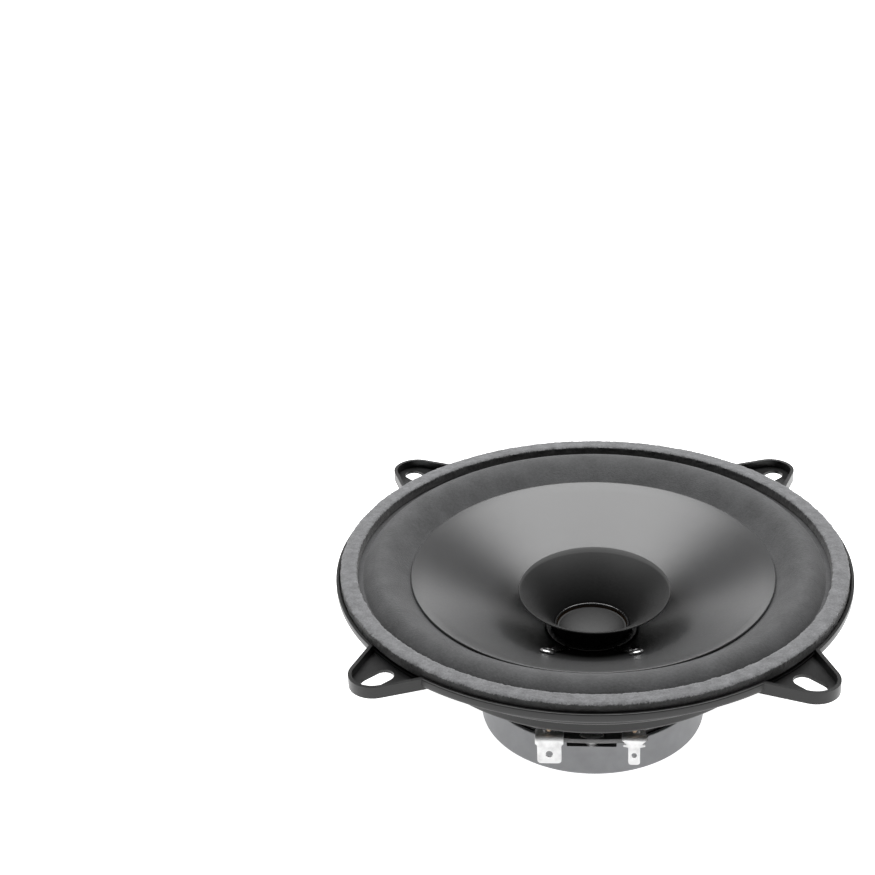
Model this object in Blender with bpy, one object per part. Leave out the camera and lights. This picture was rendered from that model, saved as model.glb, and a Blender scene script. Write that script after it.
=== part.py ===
"""A 130 mm round dual-cone car loudspeaker, as the pieces that it is assembled from.

Lengths are in millimetres and are turned into metres where vertices are made.
The speaker stands on its magnet cover, its cone faces +Z and its terminals point to -Y.
A turned piece is an outline of (radius, height) points that is spun round the Z axis.
"""
from math import asin, cos, degrees, hypot, pi, radians, sin, tan

import bmesh
import bpy
from mathutils import Matrix, Vector

MM = 0.001
FIT_GAP = 0.3  # clearance between two pieces that touch
SIDES_WIDE = 56  # facets round the frame, the cone and the gasket
SIDES_SMALL = 36  # facets round the motor and the small cone
SIDES_PIN = 12  # facets round a rivet or a hole

# Magnet system, from the cover upwards
COVER_RADIUS = 29.3
COVER_WALL = 1.0
COVER_HEIGHT = 9.7
YOKE_BOTTOM = 1.3
YOKE_TOP = 4.8
YOKE_RADIUS = 26.5
POLE_RADIUS = 8.95
POLE_TOP = 16.0
MAGNET_BOTTOM = 5.1
MAGNET_TOP = 11.6
MAGNET_RADIUS = 27.9
MAGNET_BORE = 14.0
TOP_PLATE_BOTTOM = 11.9
TOP_PLATE_TOP = 14.9
TOP_PLATE_RADIUS = 26.0
TOP_PLATE_BORE = 10.4

# Pressed steel frame
SHEET = 0.9
FLOOR_TOP = 16.2
FLOOR_BORE = 14.0
FLOOR_EDGE = 33.6
LEDGE_TOP = 22.0
LEDGE_INNER = 35.2
LEDGE_OUTER = 38.0
ARM_FOOT = (38.8, 22.4)
ARM_HEAD = (46.4, 27.0)
SHOULDER = ((47.8, 34.2), (55.2, 35.9), (56.6, 43.2))
LAND_TOP = 43.2
RIM_INNER = 64.1
RIM_TOP = 44.8
RIM_RADIUS = RIM_INNER + SHEET
WINDOW_INNER = 39.6
WINDOW_OUTER = 45.2
WINDOW_CUT_BOTTOM = 19.8
WINDOW_CUT_TOP = 34.5
WINDOW_HALF_ANGLES = {0.0: 32.0, 90.0: 32.0, 180.0: 32.0, 270.0: 20.0}  # by direction, narrow over the terminals
PLATE_RIVET_SHANK = 1.2
PLATE_RIVET_HEAD = 2.2
PLATE_RIVET_HOLE = 1.5
PLATE_RIVET_CIRCLE = 20.5
PLATE_RIVET_DIRECTIONS = (45.0, 135.0, 225.0, 315.0)

# Mounting ears, on the diagonals
EAR_DIRECTIONS = (45.0, 135.0, 225.0, 315.0)
EAR_FLOOR_BOTTOM = 41.8
EAR_FLOOR_TOP = 42.6
EAR_TIP_CENTRE = 70.4
EAR_TIP_RADIUS = 6.1
EAR_ROOT_HALF_ANGLE = 8.55  # seen from the centre, where the ear leaves the rim
EAR_ROOT_OVERLAP = 4.0
SLOT_CENTRE = 69.6
SLOT_LENGTH = 8.6
SLOT_WIDTH = 4.7

# Gasket and suspension
GASKET_INNER = 59.5
GASKET_OUTER = 63.8
GASKET_BOTTOM = 44.2
GASKET_TOP = 47.0
GASKET_CHAMFER = 0.3
SURROUND_THICKNESS = 0.4
SURROUND_LIP_TOP = 43.9
SURROUND_LIP_INNER = 43.2
SURROUND_LIP_OUTER = 63.4
ROLL_INNER = 46.6
ROLL_OUTER = 57.6
ROLL_RISE = 3.6
ROLL_POINTS = 8
SPIDER_HEIGHT = 22.7  # top face of its flat outer ring
SPIDER_THICKNESS = 0.4
SPIDER_INNER = 9.8
SPIDER_OUTER = 37.4
WAVE_INNER = 12.0
WAVE_OUTER = 34.2
WAVE_COUNT = 5
WAVE_HEIGHT = 0.7

# Cones and voice coil
CONE_INNER = 9.8
CONE_OUTER = 46.0
CONE_NECK_TOP = 23.9
CONE_RIM_TOP = 42.8
CONE_THICKNESS = 0.5
CONE_SLOPE = (CONE_RIM_TOP - CONE_NECK_TOP) / (CONE_OUTER - CONE_INNER)
WHIZZER_BOTTOM = 24.3
WHIZZER_THROAT = (9.75, 26.2)
WHIZZER_PULL = (11.6, 31.8)  # control point of the flare's curve
WHIZZER_RIM = (19.3, 36.8)
WHIZZER_THICKNESS = 0.4
WHIZZER_POINTS = 7
DUST_CAP_RADIUS = 9.0
DUST_CAP_SKIRT = 24.2
DUST_CAP_SHOULDER = 25.2
DUST_CAP_TOP = 27.9
DUST_CAP_THICKNESS = 0.4
DUST_CAP_POINTS = 5
FORMER_INNER = 9.3
FORMER_OUTER = 9.45
FORMER_BOTTOM = 9.4
FORMER_TOP = 25.6
WINDING_INNER = 9.6
WINDING_OUTER = 10.0
WINDING_BOTTOM = 10.2
WINDING_TOP = 17.6
NECK_GLUE_INNER = 10.5
NECK_GLUE_OUTER = 12.0
NECK_GLUE_TOP = 26.0
COIL_AXIS_POINT = (0.0, 0.0, 13.4)  # middle of the magnetic gap, on the cone's travel

# Lead-outs on the cone
EYELET_CIRCLE = 24.2
EYELET_ANGLE = 27.0  # either side of -Y
EYELET_HEAD_RADIUS = 1.9
EYELET_BARREL_RADIUS = 0.8
EYELET_HOLE_RADIUS = 1.1
EYELET_HEAD_HEIGHT = 0.9
GLUE_RUN_START = 21.6
GLUE_RUN_END = 13.2
GLUE_RUN_RADIUS = 0.9

# Terminals, on a tongue of the frame
TONGUE_HALF_WIDTH = 6.0
TONGUE_START = 33.0
TONGUE_END = 42.0
TERMINAL_TILT = 20.0  # outer edge up
BOARD_HALF_WIDTH = 13.5
BOARD_INNER = 37.0
BOARD_RADIUS = 42.7
BOARD_THICKNESS = 1.0
BOARD_RIVET_DISTANCE = 39.4
BOARD_RIVET_HEAD = 2.9
BOARD_RIVET_SHANK = 1.4
TAB_THICKNESS = 0.8
TAB_FOOT_INNER = 37.4
TAB_FRONT = 43.0  # inner face of the blade's bend
TAB_LENGTH = 8.0
TAB_DISTANCE = 10.1  # from the middle of the board, along X
TAB_SHOULDER_LENGTH = 2.6
BLADE_HOLE_RADIUS = 0.85
BLADE_HOLE_HEIGHT = 2.6
POSITIVE_SHOULDER = 6.8
POSITIVE_BLADE = 6.0
NEGATIVE_SHOULDER = 5.8
NEGATIVE_BLADE = 2.8
TAB_RIVET_HEAD = 1.5
TAB_RIVET_SHANK = 0.8
LEAD_RADIUS = 0.55
LEAD_POINTS = (
    # one lead by hand, from the cone's eyelet through the frame's window to its tab
    (11.0, -21.8, 28.8),
    (11.1, -25.0, 27.0),
    (11.2, -30.5, 26.4),
    (11.2, -36.0, 27.2),
    (11.1, -40.2, 26.4),
    (10.7, -41.2, 24.4),
    (10.3, -40.9, 22.9),
    (10.1, -40.4, 22.2),
)


def clear_scene():
    for old_object in list(bpy.data.objects):
        bpy.data.objects.remove(old_object, do_unlink=True)


def make_material(name, colour, roughness, metallic=0.0):
    material = bpy.data.materials.new(name)
    material.use_nodes = True
    shader = material.node_tree.nodes["Principled BSDF"]
    shader.inputs["Base Color"].default_value = (*colour, 1.0)
    shader.inputs["Roughness"].default_value = roughness
    shader.inputs["Metallic"].default_value = metallic
    material.diffuse_color = (*colour, 1.0)
    return material


def add_object(name, mesh_data, material):
    """Make a named object from a bmesh given in millimetres."""
    bmesh.ops.recalc_face_normals(mesh_data, faces=mesh_data.faces)
    bmesh.ops.scale(mesh_data, vec=(MM, MM, MM), verts=mesh_data.verts)
    mesh = bpy.data.meshes.new(name)
    mesh_data.to_mesh(mesh)
    mesh_data.free()
    mesh.shade_smooth()
    mesh.set_sharp_from_angle(angle=radians(35.0))
    new_object = bpy.data.objects.new(name, mesh)
    bpy.context.scene.collection.objects.link(new_object)
    if material is not None:
        mesh.materials.append(material)
    return new_object


def place(piece, location, tilt_x=0.0, turn_z=0.0, tilt_y=0.0):
    """Set a piece at a location in millimetres, with angles in degrees."""
    piece.location = Vector(location) * MM
    piece.rotation_euler = (radians(tilt_x), radians(tilt_y), radians(turn_z))
    return piece


def polar(radius, direction, height=0.0):
    return (radius * cos(radians(direction)), radius * sin(radians(direction)), height)


def sheet_outline(path, thickness):
    """Close an open (radius, height) path into a sheet that lies to the right of it."""
    normals = []
    for (r0, z0), (r1, z1) in zip(path, path[1:]):
        length = hypot(r1 - r0, z1 - z0)
        normals.append(((z1 - z0) / length, (r0 - r1) / length))
    other_side = []
    for index, (r, z) in enumerate(path):
        before = normals[max(index - 1, 0)]
        after = normals[min(index, len(normals) - 1)]
        sum_r, sum_z = before[0] + after[0], before[1] + after[1]
        stretch = 2.0 * thickness / (sum_r ** 2 + sum_z ** 2)
        offset_r = 0.0 if r == 0.0 else r + sum_r * stretch
        other_side.append((offset_r, z + sum_z * stretch))
    return list(path) + other_side[::-1]


def turned(name, outline, material, sides=SIDES_SMALL):
    """Spin a closed outline once round the Z axis."""
    mesh_data = bmesh.new()
    ring = [mesh_data.verts.new((r, 0.0, z)) for r, z in outline]
    edges = []
    for start, end in zip(ring, ring[1:] + ring[:1]):
        if start.co.x == 0.0 and end.co.x == 0.0:
            continue
        edges.append(mesh_data.edges.new((start, end)))
    bmesh.ops.spin(
        mesh_data,
        geom=ring + edges,
        cent=(0.0, 0.0, 0.0),
        axis=(0.0, 0.0, 1.0),
        angle=2.0 * pi,
        steps=sides,
        use_merge=True,
    )
    bmesh.ops.remove_doubles(mesh_data, verts=mesh_data.verts, dist=0.0001)
    return add_object(name, mesh_data, material)


def prism(name, outline, bottom, top, material=None):
    """Raise a closed (x, y) outline from one height to another."""
    mesh_data = bmesh.new()
    face = mesh_data.faces.new([mesh_data.verts.new((x, y, bottom)) for x, y in outline])
    grown = bmesh.ops.extrude_face_region(mesh_data, geom=[face])
    upper = [item for item in grown["geom"] if isinstance(item, bmesh.types.BMVert)]
    bmesh.ops.translate(mesh_data, vec=(0.0, 0.0, top - bottom), verts=upper)
    return add_object(name, mesh_data, material)


def box(name, low, high, material=None):
    outline = ((low[0], low[1]), (high[0], low[1]), (high[0], high[1]), (low[0], high[1]))
    return prism(name, outline, low[2], high[2], material)


def pin_outline(radius, bottom, top):
    return ((0.0, bottom), (radius, bottom), (radius, top), (0.0, top))


def combine(piece, tool, operation):
    """Join or cut a piece with a tool shape, which stays in the file as a guide."""
    tool.hide_render = True
    tool.display_type = "WIRE"
    step = piece.modifiers.new(f"{operation.lower()} {tool.name}", "BOOLEAN")
    step.operation = operation
    step.object = tool
    step.solver = "EXACT"


def drill(piece, name, radius, location, reach=6.0, **angles):
    """Cut a round hole whose middle is at a location."""
    tool = turned(name, pin_outline(radius, -reach, reach), None, SIDES_PIN)
    combine(piece, place(tool, location, **angles), "DIFFERENCE")


def cone_top(radius):
    return CONE_NECK_TOP + (radius - CONE_INNER) * CONE_SLOPE


def plane_curve(start, pull, end, count):
    """Points of a quadratic Bezier curve, both ends included."""
    points = []
    for index in range(count):
        t = index / (count - 1)
        weights = ((1 - t) ** 2, 2 * t * (1 - t), t ** 2)
        points.append(tuple(
            weights[0] * a + weights[1] * b + weights[2] * c
            for a, b, c in zip(start, pull, end)
        ))
    return points


def terminal_point(x, distance):
    """A point on the tongue's top face, whose distance beyond the floor's edge runs up its slope."""
    run = distance - FLOOR_EDGE
    tilt = radians(TERMINAL_TILT)
    return (x, -FLOOR_EDGE - run * cos(tilt), FLOOR_TOP + run * sin(tilt))


def make_basket(paint):
    path = [(FLOOR_BORE, FLOOR_TOP), (FLOOR_EDGE, FLOOR_TOP), (LEDGE_INNER - 1.0, LEDGE_TOP - 1.0)]
    path += [(LEDGE_INNER, LEDGE_TOP), (LEDGE_OUTER, LEDGE_TOP), ARM_FOOT, ARM_HEAD, *SHOULDER]
    path += [(RIM_INNER, LAND_TOP), (RIM_INNER, RIM_TOP)]
    basket = turned("basket", sheet_outline(path, SHEET), paint, SIDES_WIDE)
    for number, direction in enumerate(EAR_DIRECTIONS, start=1):
        combine(basket, make_ear(number, direction), "UNION")
    for number, direction in enumerate(EAR_DIRECTIONS, start=1):
        combine(basket, make_ear_pocket(number, direction), "DIFFERENCE")
    tongue = box(
        "tongue shape",
        (-TONGUE_HALF_WIDTH, FLOOR_EDGE - TONGUE_END, -SHEET),
        (TONGUE_HALF_WIDTH, FLOOR_EDGE - TONGUE_START, 0.0),
    )
    place(tongue, terminal_point(0.0, FLOOR_EDGE), tilt_x=-TERMINAL_TILT)
    combine(basket, tongue, "UNION")
    for direction, half_angle in WINDOW_HALF_ANGLES.items():
        combine(basket, make_window_cutter(direction, half_angle), "DIFFERENCE")
    for number, direction in enumerate(EAR_DIRECTIONS, start=1):
        combine(basket, make_slot_cutter(number, direction), "DIFFERENCE")
    for number, direction in enumerate(PLATE_RIVET_DIRECTIONS, start=1):
        spot = polar(PLATE_RIVET_CIRCLE, direction, FLOOR_TOP)
        drill(basket, f"floor hole {number}", PLATE_RIVET_HOLE, spot, reach=2.0)
    drill(
        basket,
        "tongue hole",
        BOARD_RIVET_SHANK + FIT_GAP,
        terminal_point(0.0, BOARD_RIVET_DISTANCE),
        reach=3.0,
        tilt_x=-TERMINAL_TILT,
    )
    return basket


def ear_outline(inset):
    """Ear along +X: a round tip and straight sides that spread to the rim."""
    root = polar(RIM_RADIUS, EAR_ROOT_HALF_ANGLE)
    to_tip = Vector((EAR_TIP_CENTRE - root[0], -root[1]))
    taper = pi / 2 - to_tip.angle(Vector((0.0, -1.0))) - asin(EAR_TIP_RADIUS / to_tip.length)
    side_angle = pi / 2 - taper
    radius = EAR_TIP_RADIUS - inset
    steps = 10
    outline = []
    for index in range(steps + 1):
        angle = -side_angle + 2 * side_angle * index / steps
        outline.append((EAR_TIP_CENTRE + radius * cos(angle), radius * sin(angle)))
    reach = outline[-1][0] - root[0] + EAR_ROOT_OVERLAP
    half_width = outline[-1][1] + reach * tan(taper)
    outline.append((outline[-1][0] - reach, half_width))
    outline.append((outline[-1][0], -half_width))
    return outline


def make_ear(number, direction):
    """The solid block of an ear, kept clear of the ring's inside."""
    ear = prism(f"ear block {number}", ear_outline(0.0), EAR_FLOOR_BOTTOM, RIM_TOP)
    keep_out_of_ring(ear, f"ear root {number}", RIM_RADIUS - 0.4)
    return place(ear, (0.0, 0.0, 0.0), turn_z=direction)


def make_ear_pocket(number, direction):
    """The hollow of an ear, which leaves its floor and the rim that runs round it."""
    pocket = prism(f"ear pocket {number}", ear_outline(SHEET), EAR_FLOOR_TOP, RIM_TOP + 1.0)
    keep_out_of_ring(pocket, f"pocket root {number}", RIM_INNER - 0.2)
    return place(pocket, (0.0, 0.0, 0.0), turn_z=direction)


def keep_out_of_ring(shape, name, radius):
    """Trim a shape to the outside of a circle, above the underside of the ring's land."""
    disc = turned(name, pin_outline(radius, LAND_TOP - SHEET + 0.2, RIM_TOP + 2.0), None, SIDES_WIDE)
    combine(shape, disc, "DIFFERENCE")


def make_slot_cutter(number, direction):
    """Slot with round ends, long way along the radius."""
    half_straight = (SLOT_LENGTH - SLOT_WIDTH) / 2
    outline = []
    for centre, first in ((SLOT_CENTRE + half_straight, -90.0), (SLOT_CENTRE - half_straight, 90.0)):
        for index in range(7):
            x, y, _ = polar(SLOT_WIDTH / 2, first + index * 30.0)
            outline.append((centre + x, y))
    cutter = prism(f"slot cutter {number}", outline, EAR_FLOOR_BOTTOM - 2.0, RIM_TOP + 3.0)
    return place(cutter, (0.0, 0.0, 0.0), turn_z=direction)


def make_window_cutter(direction, half_angle):
    """A block between two arcs, which opens the sloping wall between two arms."""
    steps = 8
    outer, inner = [], []
    for index in range(steps + 1):
        angle = half_angle * (2 * index / steps - 1)
        outer.append(polar(WINDOW_OUTER, angle)[:2])
        inner.append(polar(WINDOW_INNER, angle)[:2])
    cutter = prism(f"window cutter {direction:.0f}", outer + inner[::-1], WINDOW_CUT_BOTTOM, WINDOW_CUT_TOP)
    return place(cutter, (0.0, 0.0, 0.0), turn_z=direction)


def make_gasket(felt):
    c = GASKET_CHAMFER
    outline = (
        (GASKET_INNER, GASKET_BOTTOM),
        (GASKET_OUTER, GASKET_BOTTOM),
        (GASKET_OUTER, GASKET_TOP - c),
        (GASKET_OUTER - c, GASKET_TOP),
        (GASKET_INNER + c, GASKET_TOP),
        (GASKET_INNER, GASKET_TOP - c),
    )
    return turned("gasket_ring", outline, felt, SIDES_WIDE)


def make_motor(steel, ferrite, cover_paint):
    """Cover, yoke with pole, ring magnet and top plate, stacked along the axis."""
    bevel = 0.7
    turned(
        "magnet_cover",
        (
            (0.0, 0.0),
            (COVER_RADIUS - bevel, 0.0),
            (COVER_RADIUS, bevel),
            (COVER_RADIUS, COVER_HEIGHT),
            (COVER_RADIUS - COVER_WALL, COVER_HEIGHT),
            (COVER_RADIUS - COVER_WALL, COVER_WALL),
            (0.0, COVER_WALL),
        ),
        cover_paint,
        SIDES_WIDE,
    )
    turned(
        "yoke_with_pole",
        (
            (0.0, YOKE_BOTTOM),
            (YOKE_RADIUS, YOKE_BOTTOM),
            (YOKE_RADIUS, YOKE_TOP),
            (POLE_RADIUS, YOKE_TOP),
            (POLE_RADIUS, POLE_TOP - bevel),
            (POLE_RADIUS - bevel, POLE_TOP),
            (0.0, POLE_TOP),
        ),
        steel,
    )
    turned("ring_magnet", ring_outline(MAGNET_BORE, MAGNET_RADIUS, MAGNET_BOTTOM, MAGNET_TOP), ferrite)
    plate = turned(
        "top_plate",
        ring_outline(TOP_PLATE_BORE, TOP_PLATE_RADIUS, TOP_PLATE_BOTTOM, TOP_PLATE_TOP),
        steel,
    )
    for number, direction in enumerate(PLATE_RIVET_DIRECTIONS, start=1):
        spot = polar(PLATE_RIVET_CIRCLE, direction, TOP_PLATE_TOP)
        drill(plate, f"plate hole {number}", PLATE_RIVET_HOLE, spot, reach=2.4)


def ring_outline(inner, outer, bottom, top):
    return ((inner, bottom), (outer, bottom), (outer, top), (inner, top))


def make_plate_rivets(steel):
    head_bottom = FLOOR_TOP + FIT_GAP
    outline = (
        (0.0, TOP_PLATE_TOP - 2.0),
        (PLATE_RIVET_SHANK, TOP_PLATE_TOP - 2.0),
        (PLATE_RIVET_SHANK, head_bottom),
        (PLATE_RIVET_HEAD, head_bottom),
        (PLATE_RIVET_HEAD, head_bottom + 0.4),
        (1.4, head_bottom + 0.9),
        (0.0, head_bottom + 1.0),
    )
    for number, direction in enumerate(PLATE_RIVET_DIRECTIONS, start=1):
        rivet = turned(f"plate_rivet_{number}", outline, steel, SIDES_PIN)
        place(rivet, polar(PLATE_RIVET_CIRCLE, direction))


def make_terminals(fibre, tinplate, rivet_steel):
    """The board lies on the tongue, and the two tabs stand on the board."""
    board_bottom = FIT_GAP
    board_top = board_bottom + BOARD_THICKNESS
    edge_angle = degrees(asin(BOARD_HALF_WIDTH / BOARD_RADIUS))
    outline = [(BOARD_HALF_WIDTH, -BOARD_INNER + FLOOR_EDGE), (-BOARD_HALF_WIDTH, -BOARD_INNER + FLOOR_EDGE)]
    steps = 10
    for index in range(steps + 1):
        x, y, _ = polar(BOARD_RADIUS, -90.0 - edge_angle + 2 * edge_angle * index / steps)
        outline.append((x, y + FLOOR_EDGE))
    board = prism("terminal_board", outline, board_bottom, board_top, fibre)
    place(board, terminal_point(0.0, FLOOR_EDGE), tilt_x=-TERMINAL_TILT)
    middle = terminal_point(0.0, BOARD_RIVET_DISTANCE)
    drill(board, "board hole", BOARD_RIVET_SHANK + FIT_GAP, middle, tilt_x=-TERMINAL_TILT)
    rivet = turned(
        "board_rivet",
        rivet_outline(BOARD_RIVET_HEAD, BOARD_RIVET_SHANK, -SHEET - FIT_GAP, board_top + FIT_GAP, 0.5),
        rivet_steel,
        20,
    )
    place(rivet, middle, tilt_x=-TERMINAL_TILT)

    foot_bottom = board_top + FIT_GAP
    sizes = (
        ("positive", -TAB_DISTANCE, POSITIVE_SHOULDER, POSITIVE_BLADE),
        ("negative", TAB_DISTANCE, NEGATIVE_SHOULDER, NEGATIVE_BLADE),
    )
    for name, x, shoulder, blade in sizes:
        tab = make_tab(f"{name}_tab", shoulder, blade, foot_bottom, tinplate)
        place(tab, terminal_point(x, FLOOR_EDGE), tilt_x=-TERMINAL_TILT)
        spot = terminal_point(x, BOARD_RIVET_DISTANCE)
        hole = TAB_RIVET_SHANK + FIT_GAP
        drill(board, f"{name} board hole", hole, spot, reach=4.0, tilt_x=-TERMINAL_TILT)
        drill(tab, f"{name} foot hole", hole, (0.0, FLOOR_EDGE - BOARD_RIVET_DISTANCE, 0.0), reach=4.0)
        tab.modifiers[-1].object.parent = tab
        head_seat = foot_bottom + TAB_THICKNESS + FIT_GAP
        rivet = turned(
            f"{name}_tab_rivet",
            rivet_outline(TAB_RIVET_HEAD, TAB_RIVET_SHANK, board_bottom - FIT_GAP, head_seat, 0.5),
            rivet_steel,
            SIDES_PIN,
        )
        place(rivet, spot, tilt_x=-TERMINAL_TILT)


def rivet_outline(head, shank, tail_seat, head_seat, head_height):
    """Shank between a wide domed head above and a smaller upset tail below."""
    tail = shank + 0.45 * (head - shank)
    return (
        (0.0, tail_seat - 0.5 * head_height),
        (tail * 0.8, tail_seat - 0.5 * head_height),
        (tail, tail_seat),
        (shank, tail_seat),
        (shank, head_seat),
        (head, head_seat),
        (head * 0.9, head_seat + 0.5 * head_height),
        (head * 0.55, head_seat + 0.9 * head_height),
        (0.0, head_seat + head_height),
    )


def make_tab(name, shoulder, blade, foot_bottom, tinplate):
    """Flat foot, bent down over the board's edge into a blade with a hole near its end."""
    front = FLOOR_EDGE - TAB_FRONT
    foot_top = foot_bottom + TAB_THICKNESS
    blade_height = TAB_LENGTH * cos(radians(TERMINAL_TILT))
    blade_end = foot_top - blade_height
    bend = 0.4
    lean = (blade_height - bend) * tan(radians(TERMINAL_TILT))  # which makes the blade hang straight down
    profile = (
        (FLOOR_EDGE - TAB_FOOT_INNER, foot_bottom),
        (FLOOR_EDGE - TAB_FOOT_INNER, foot_top),
        (front - TAB_THICKNESS + bend, foot_top),
        (front - TAB_THICKNESS, foot_top - bend),
        (front - TAB_THICKNESS + lean, blade_end),
        (front + lean, blade_end),
        (front, foot_bottom),
    )
    # the profile is drawn in (y, z), so the prism is raised along X by turning it
    mesh_data = bmesh.new()
    face = mesh_data.faces.new([mesh_data.verts.new((-shoulder / 2, y, z)) for y, z in profile])
    grown = bmesh.ops.extrude_face_region(mesh_data, geom=[face])
    far_side = [item for item in grown["geom"] if isinstance(item, bmesh.types.BMVert)]
    bmesh.ops.translate(mesh_data, vec=(shoulder, 0.0, 0.0), verts=far_side)
    tab = add_object(name, mesh_data, tinplate)
    shoulder_end = foot_top - TAB_SHOULDER_LENGTH
    for side in (-1.0, 1.0):
        corner = 0.5 * blade - 0.8
        outline = (
            (side * blade / 2, shoulder_end),
            (side * shoulder, shoulder_end),
            (side * shoulder, blade_end - 1.0),
            (side * corner, blade_end - 1.0),
            (side * corner, blade_end),
            (side * blade / 2, blade_end + 0.8),
        )
        cutter = blade_cutter(f"{name} side {side:+.0f}", outline, front)
        cutter.parent = tab
        combine(tab, cutter, "DIFFERENCE")
    hole_height = blade_end + BLADE_HOLE_HEIGHT
    r = BLADE_HOLE_RADIUS
    hole = [(r * cos(k * pi / 6), hole_height + r * sin(k * pi / 6)) for k in range(12)]
    cutter = blade_cutter(f"{name} blade hole", hole, front)
    cutter.parent = tab
    combine(tab, cutter, "DIFFERENCE")
    return tab


def blade_cutter(name, outline, front):
    """A cutter drawn in (x, z) that passes through a blade from front to back."""
    mesh_data = bmesh.new()
    corners = [mesh_data.verts.new((x, front - 1.5, z)) for x, z in outline]
    grown = bmesh.ops.extrude_face_region(mesh_data, geom=[mesh_data.faces.new(corners)])
    far_side = [item for item in grown["geom"] if isinstance(item, bmesh.types.BMVert)]
    bmesh.ops.translate(mesh_data, vec=(0.0, 5.0, 0.0), verts=far_side)
    return add_object(name, mesh_data, None)


def make_surround(foam):
    """Half roll between a lip under the cone's rim and a flat lip on the frame's land."""
    under_cone = CONE_THICKNESS / cos(asin(CONE_SLOPE / hypot(1.0, CONE_SLOPE))) + FIT_GAP
    path = [(SURROUND_LIP_INNER, cone_top(SURROUND_LIP_INNER) - under_cone)]
    roll_start = cone_top(ROLL_INNER) - under_cone
    for index in range(ROLL_POINTS):
        t = index / (ROLL_POINTS - 1)
        base = roll_start + t * (SURROUND_LIP_TOP - roll_start)
        path.append((ROLL_INNER + t * (ROLL_OUTER - ROLL_INNER), base + ROLL_RISE * sin(pi * t)))
    path.append((SURROUND_LIP_OUTER, SURROUND_LIP_TOP))
    return turned("surround", sheet_outline(path, SURROUND_THICKNESS), foam, SIDES_WIDE)


def make_spider(cloth):
    """Flat inner and outer rings joined by round waves."""
    path = [(SPIDER_INNER, SPIDER_HEIGHT)]
    steps = 4 * WAVE_COUNT
    for index in range(steps + 1):
        t = index / steps
        height = SPIDER_HEIGHT + WAVE_HEIGHT * sin(2 * pi * WAVE_COUNT * t)
        path.append((WAVE_INNER + t * (WAVE_OUTER - WAVE_INNER), height))
    path.append((SPIDER_OUTER, SPIDER_HEIGHT))
    return turned("spider", sheet_outline(path, SPIDER_THICKNESS), cloth)


def make_cone(paper):
    path = ((CONE_INNER, CONE_NECK_TOP), (CONE_OUTER, CONE_RIM_TOP))
    cone = turned("cone", sheet_outline(path, CONE_THICKNESS), paper, SIDES_WIDE)
    for name, direction in eyelet_directions():
        spot = polar(EYELET_CIRCLE, direction, cone_top(EYELET_CIRCLE))
        drill(cone, f"{name} cone hole", EYELET_HOLE_RADIUS, spot, reach=3.0, **cone_angles(direction))
    return cone


def eyelet_directions():
    return (("positive", -90.0 - EYELET_ANGLE), ("negative", -90.0 + EYELET_ANGLE))


def cone_angles(direction):
    """Angles that lay a piece's XY plane on the cone, with its X axis pointing up the slope."""
    slope = degrees(asin(CONE_SLOPE / hypot(1.0, CONE_SLOPE)))
    return {"tilt_y": -slope, "turn_z": direction}


def make_whizzer(black_paper):
    path = [(WHIZZER_THROAT[0], WHIZZER_BOTTOM)]
    path += plane_curve(WHIZZER_THROAT, WHIZZER_PULL, WHIZZER_RIM, WHIZZER_POINTS)
    return turned("whizzer_cone", sheet_outline(path, WHIZZER_THICKNESS), black_paper)


def make_dust_cap(black_cloth):
    path = []
    for index in range(DUST_CAP_POINTS):
        angle = pi / 2 * index / (DUST_CAP_POINTS - 1) * 0.8
        rise = (cos(angle) - cos(0.4 * pi)) / (1.0 - cos(0.4 * pi))
        radius = (DUST_CAP_RADIUS - 0.5) * sin(angle) / sin(0.4 * pi)
        path.append((radius, DUST_CAP_SHOULDER + rise * (DUST_CAP_TOP - DUST_CAP_SHOULDER)))
    path.append((DUST_CAP_RADIUS, DUST_CAP_SHOULDER - 0.4))
    path.append((DUST_CAP_RADIUS, DUST_CAP_SKIRT))
    return turned("dust_cap", sheet_outline(path, DUST_CAP_THICKNESS), black_cloth)


def make_voice_coil(kapton, copper, glue):
    former = ring_outline(FORMER_INNER, FORMER_OUTER, FORMER_BOTTOM, FORMER_TOP)
    winding = ring_outline(WINDING_INNER, WINDING_OUTER, WINDING_BOTTOM, WINDING_TOP)
    foot = cone_top(NECK_GLUE_INNER) + FIT_GAP
    edge = cone_top(NECK_GLUE_OUTER) + FIT_GAP
    bead = ((NECK_GLUE_INNER, foot), (NECK_GLUE_OUTER, edge), (NECK_GLUE_INNER, NECK_GLUE_TOP))
    return [
        turned("voice_coil_former", former, kapton),
        turned("voice_coil_winding", winding, copper),
        turned("neck_glue", bead, glue),
    ]


def make_lead_outs(brass, glue):
    """An eyelet through the cone for each lead, and the glued run from it to the voice coil."""
    pieces = []
    under = -CONE_THICKNESS - FIT_GAP
    eyelet = (
        (0.0, under - 0.5),
        (1.5, under - 0.5),
        (1.5, under),
        (EYELET_BARREL_RADIUS, under),
        (EYELET_BARREL_RADIUS, FIT_GAP),
        (EYELET_HEAD_RADIUS, FIT_GAP),
        (EYELET_HEAD_RADIUS * 0.85, FIT_GAP + 0.6 * EYELET_HEAD_HEIGHT),
        (0.0, FIT_GAP + EYELET_HEAD_HEIGHT),
    )
    for name, direction in eyelet_directions():
        head = turned(f"{name}_lead_eyelet", eyelet, brass, SIDES_PIN)
        place(head, polar(EYELET_CIRCLE, direction, cone_top(EYELET_CIRCLE)), **cone_angles(direction))
        start, end = 0.0, (GLUE_RUN_START - GLUE_RUN_END) * hypot(1.0, CONE_SLOPE)
        run = make_glue_run(f"{name}_lead_glue", start, end, glue)
        place(run, polar(GLUE_RUN_END, direction, cone_top(GLUE_RUN_END)), **cone_angles(direction))
        pieces += [head, run]
    return pieces


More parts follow.
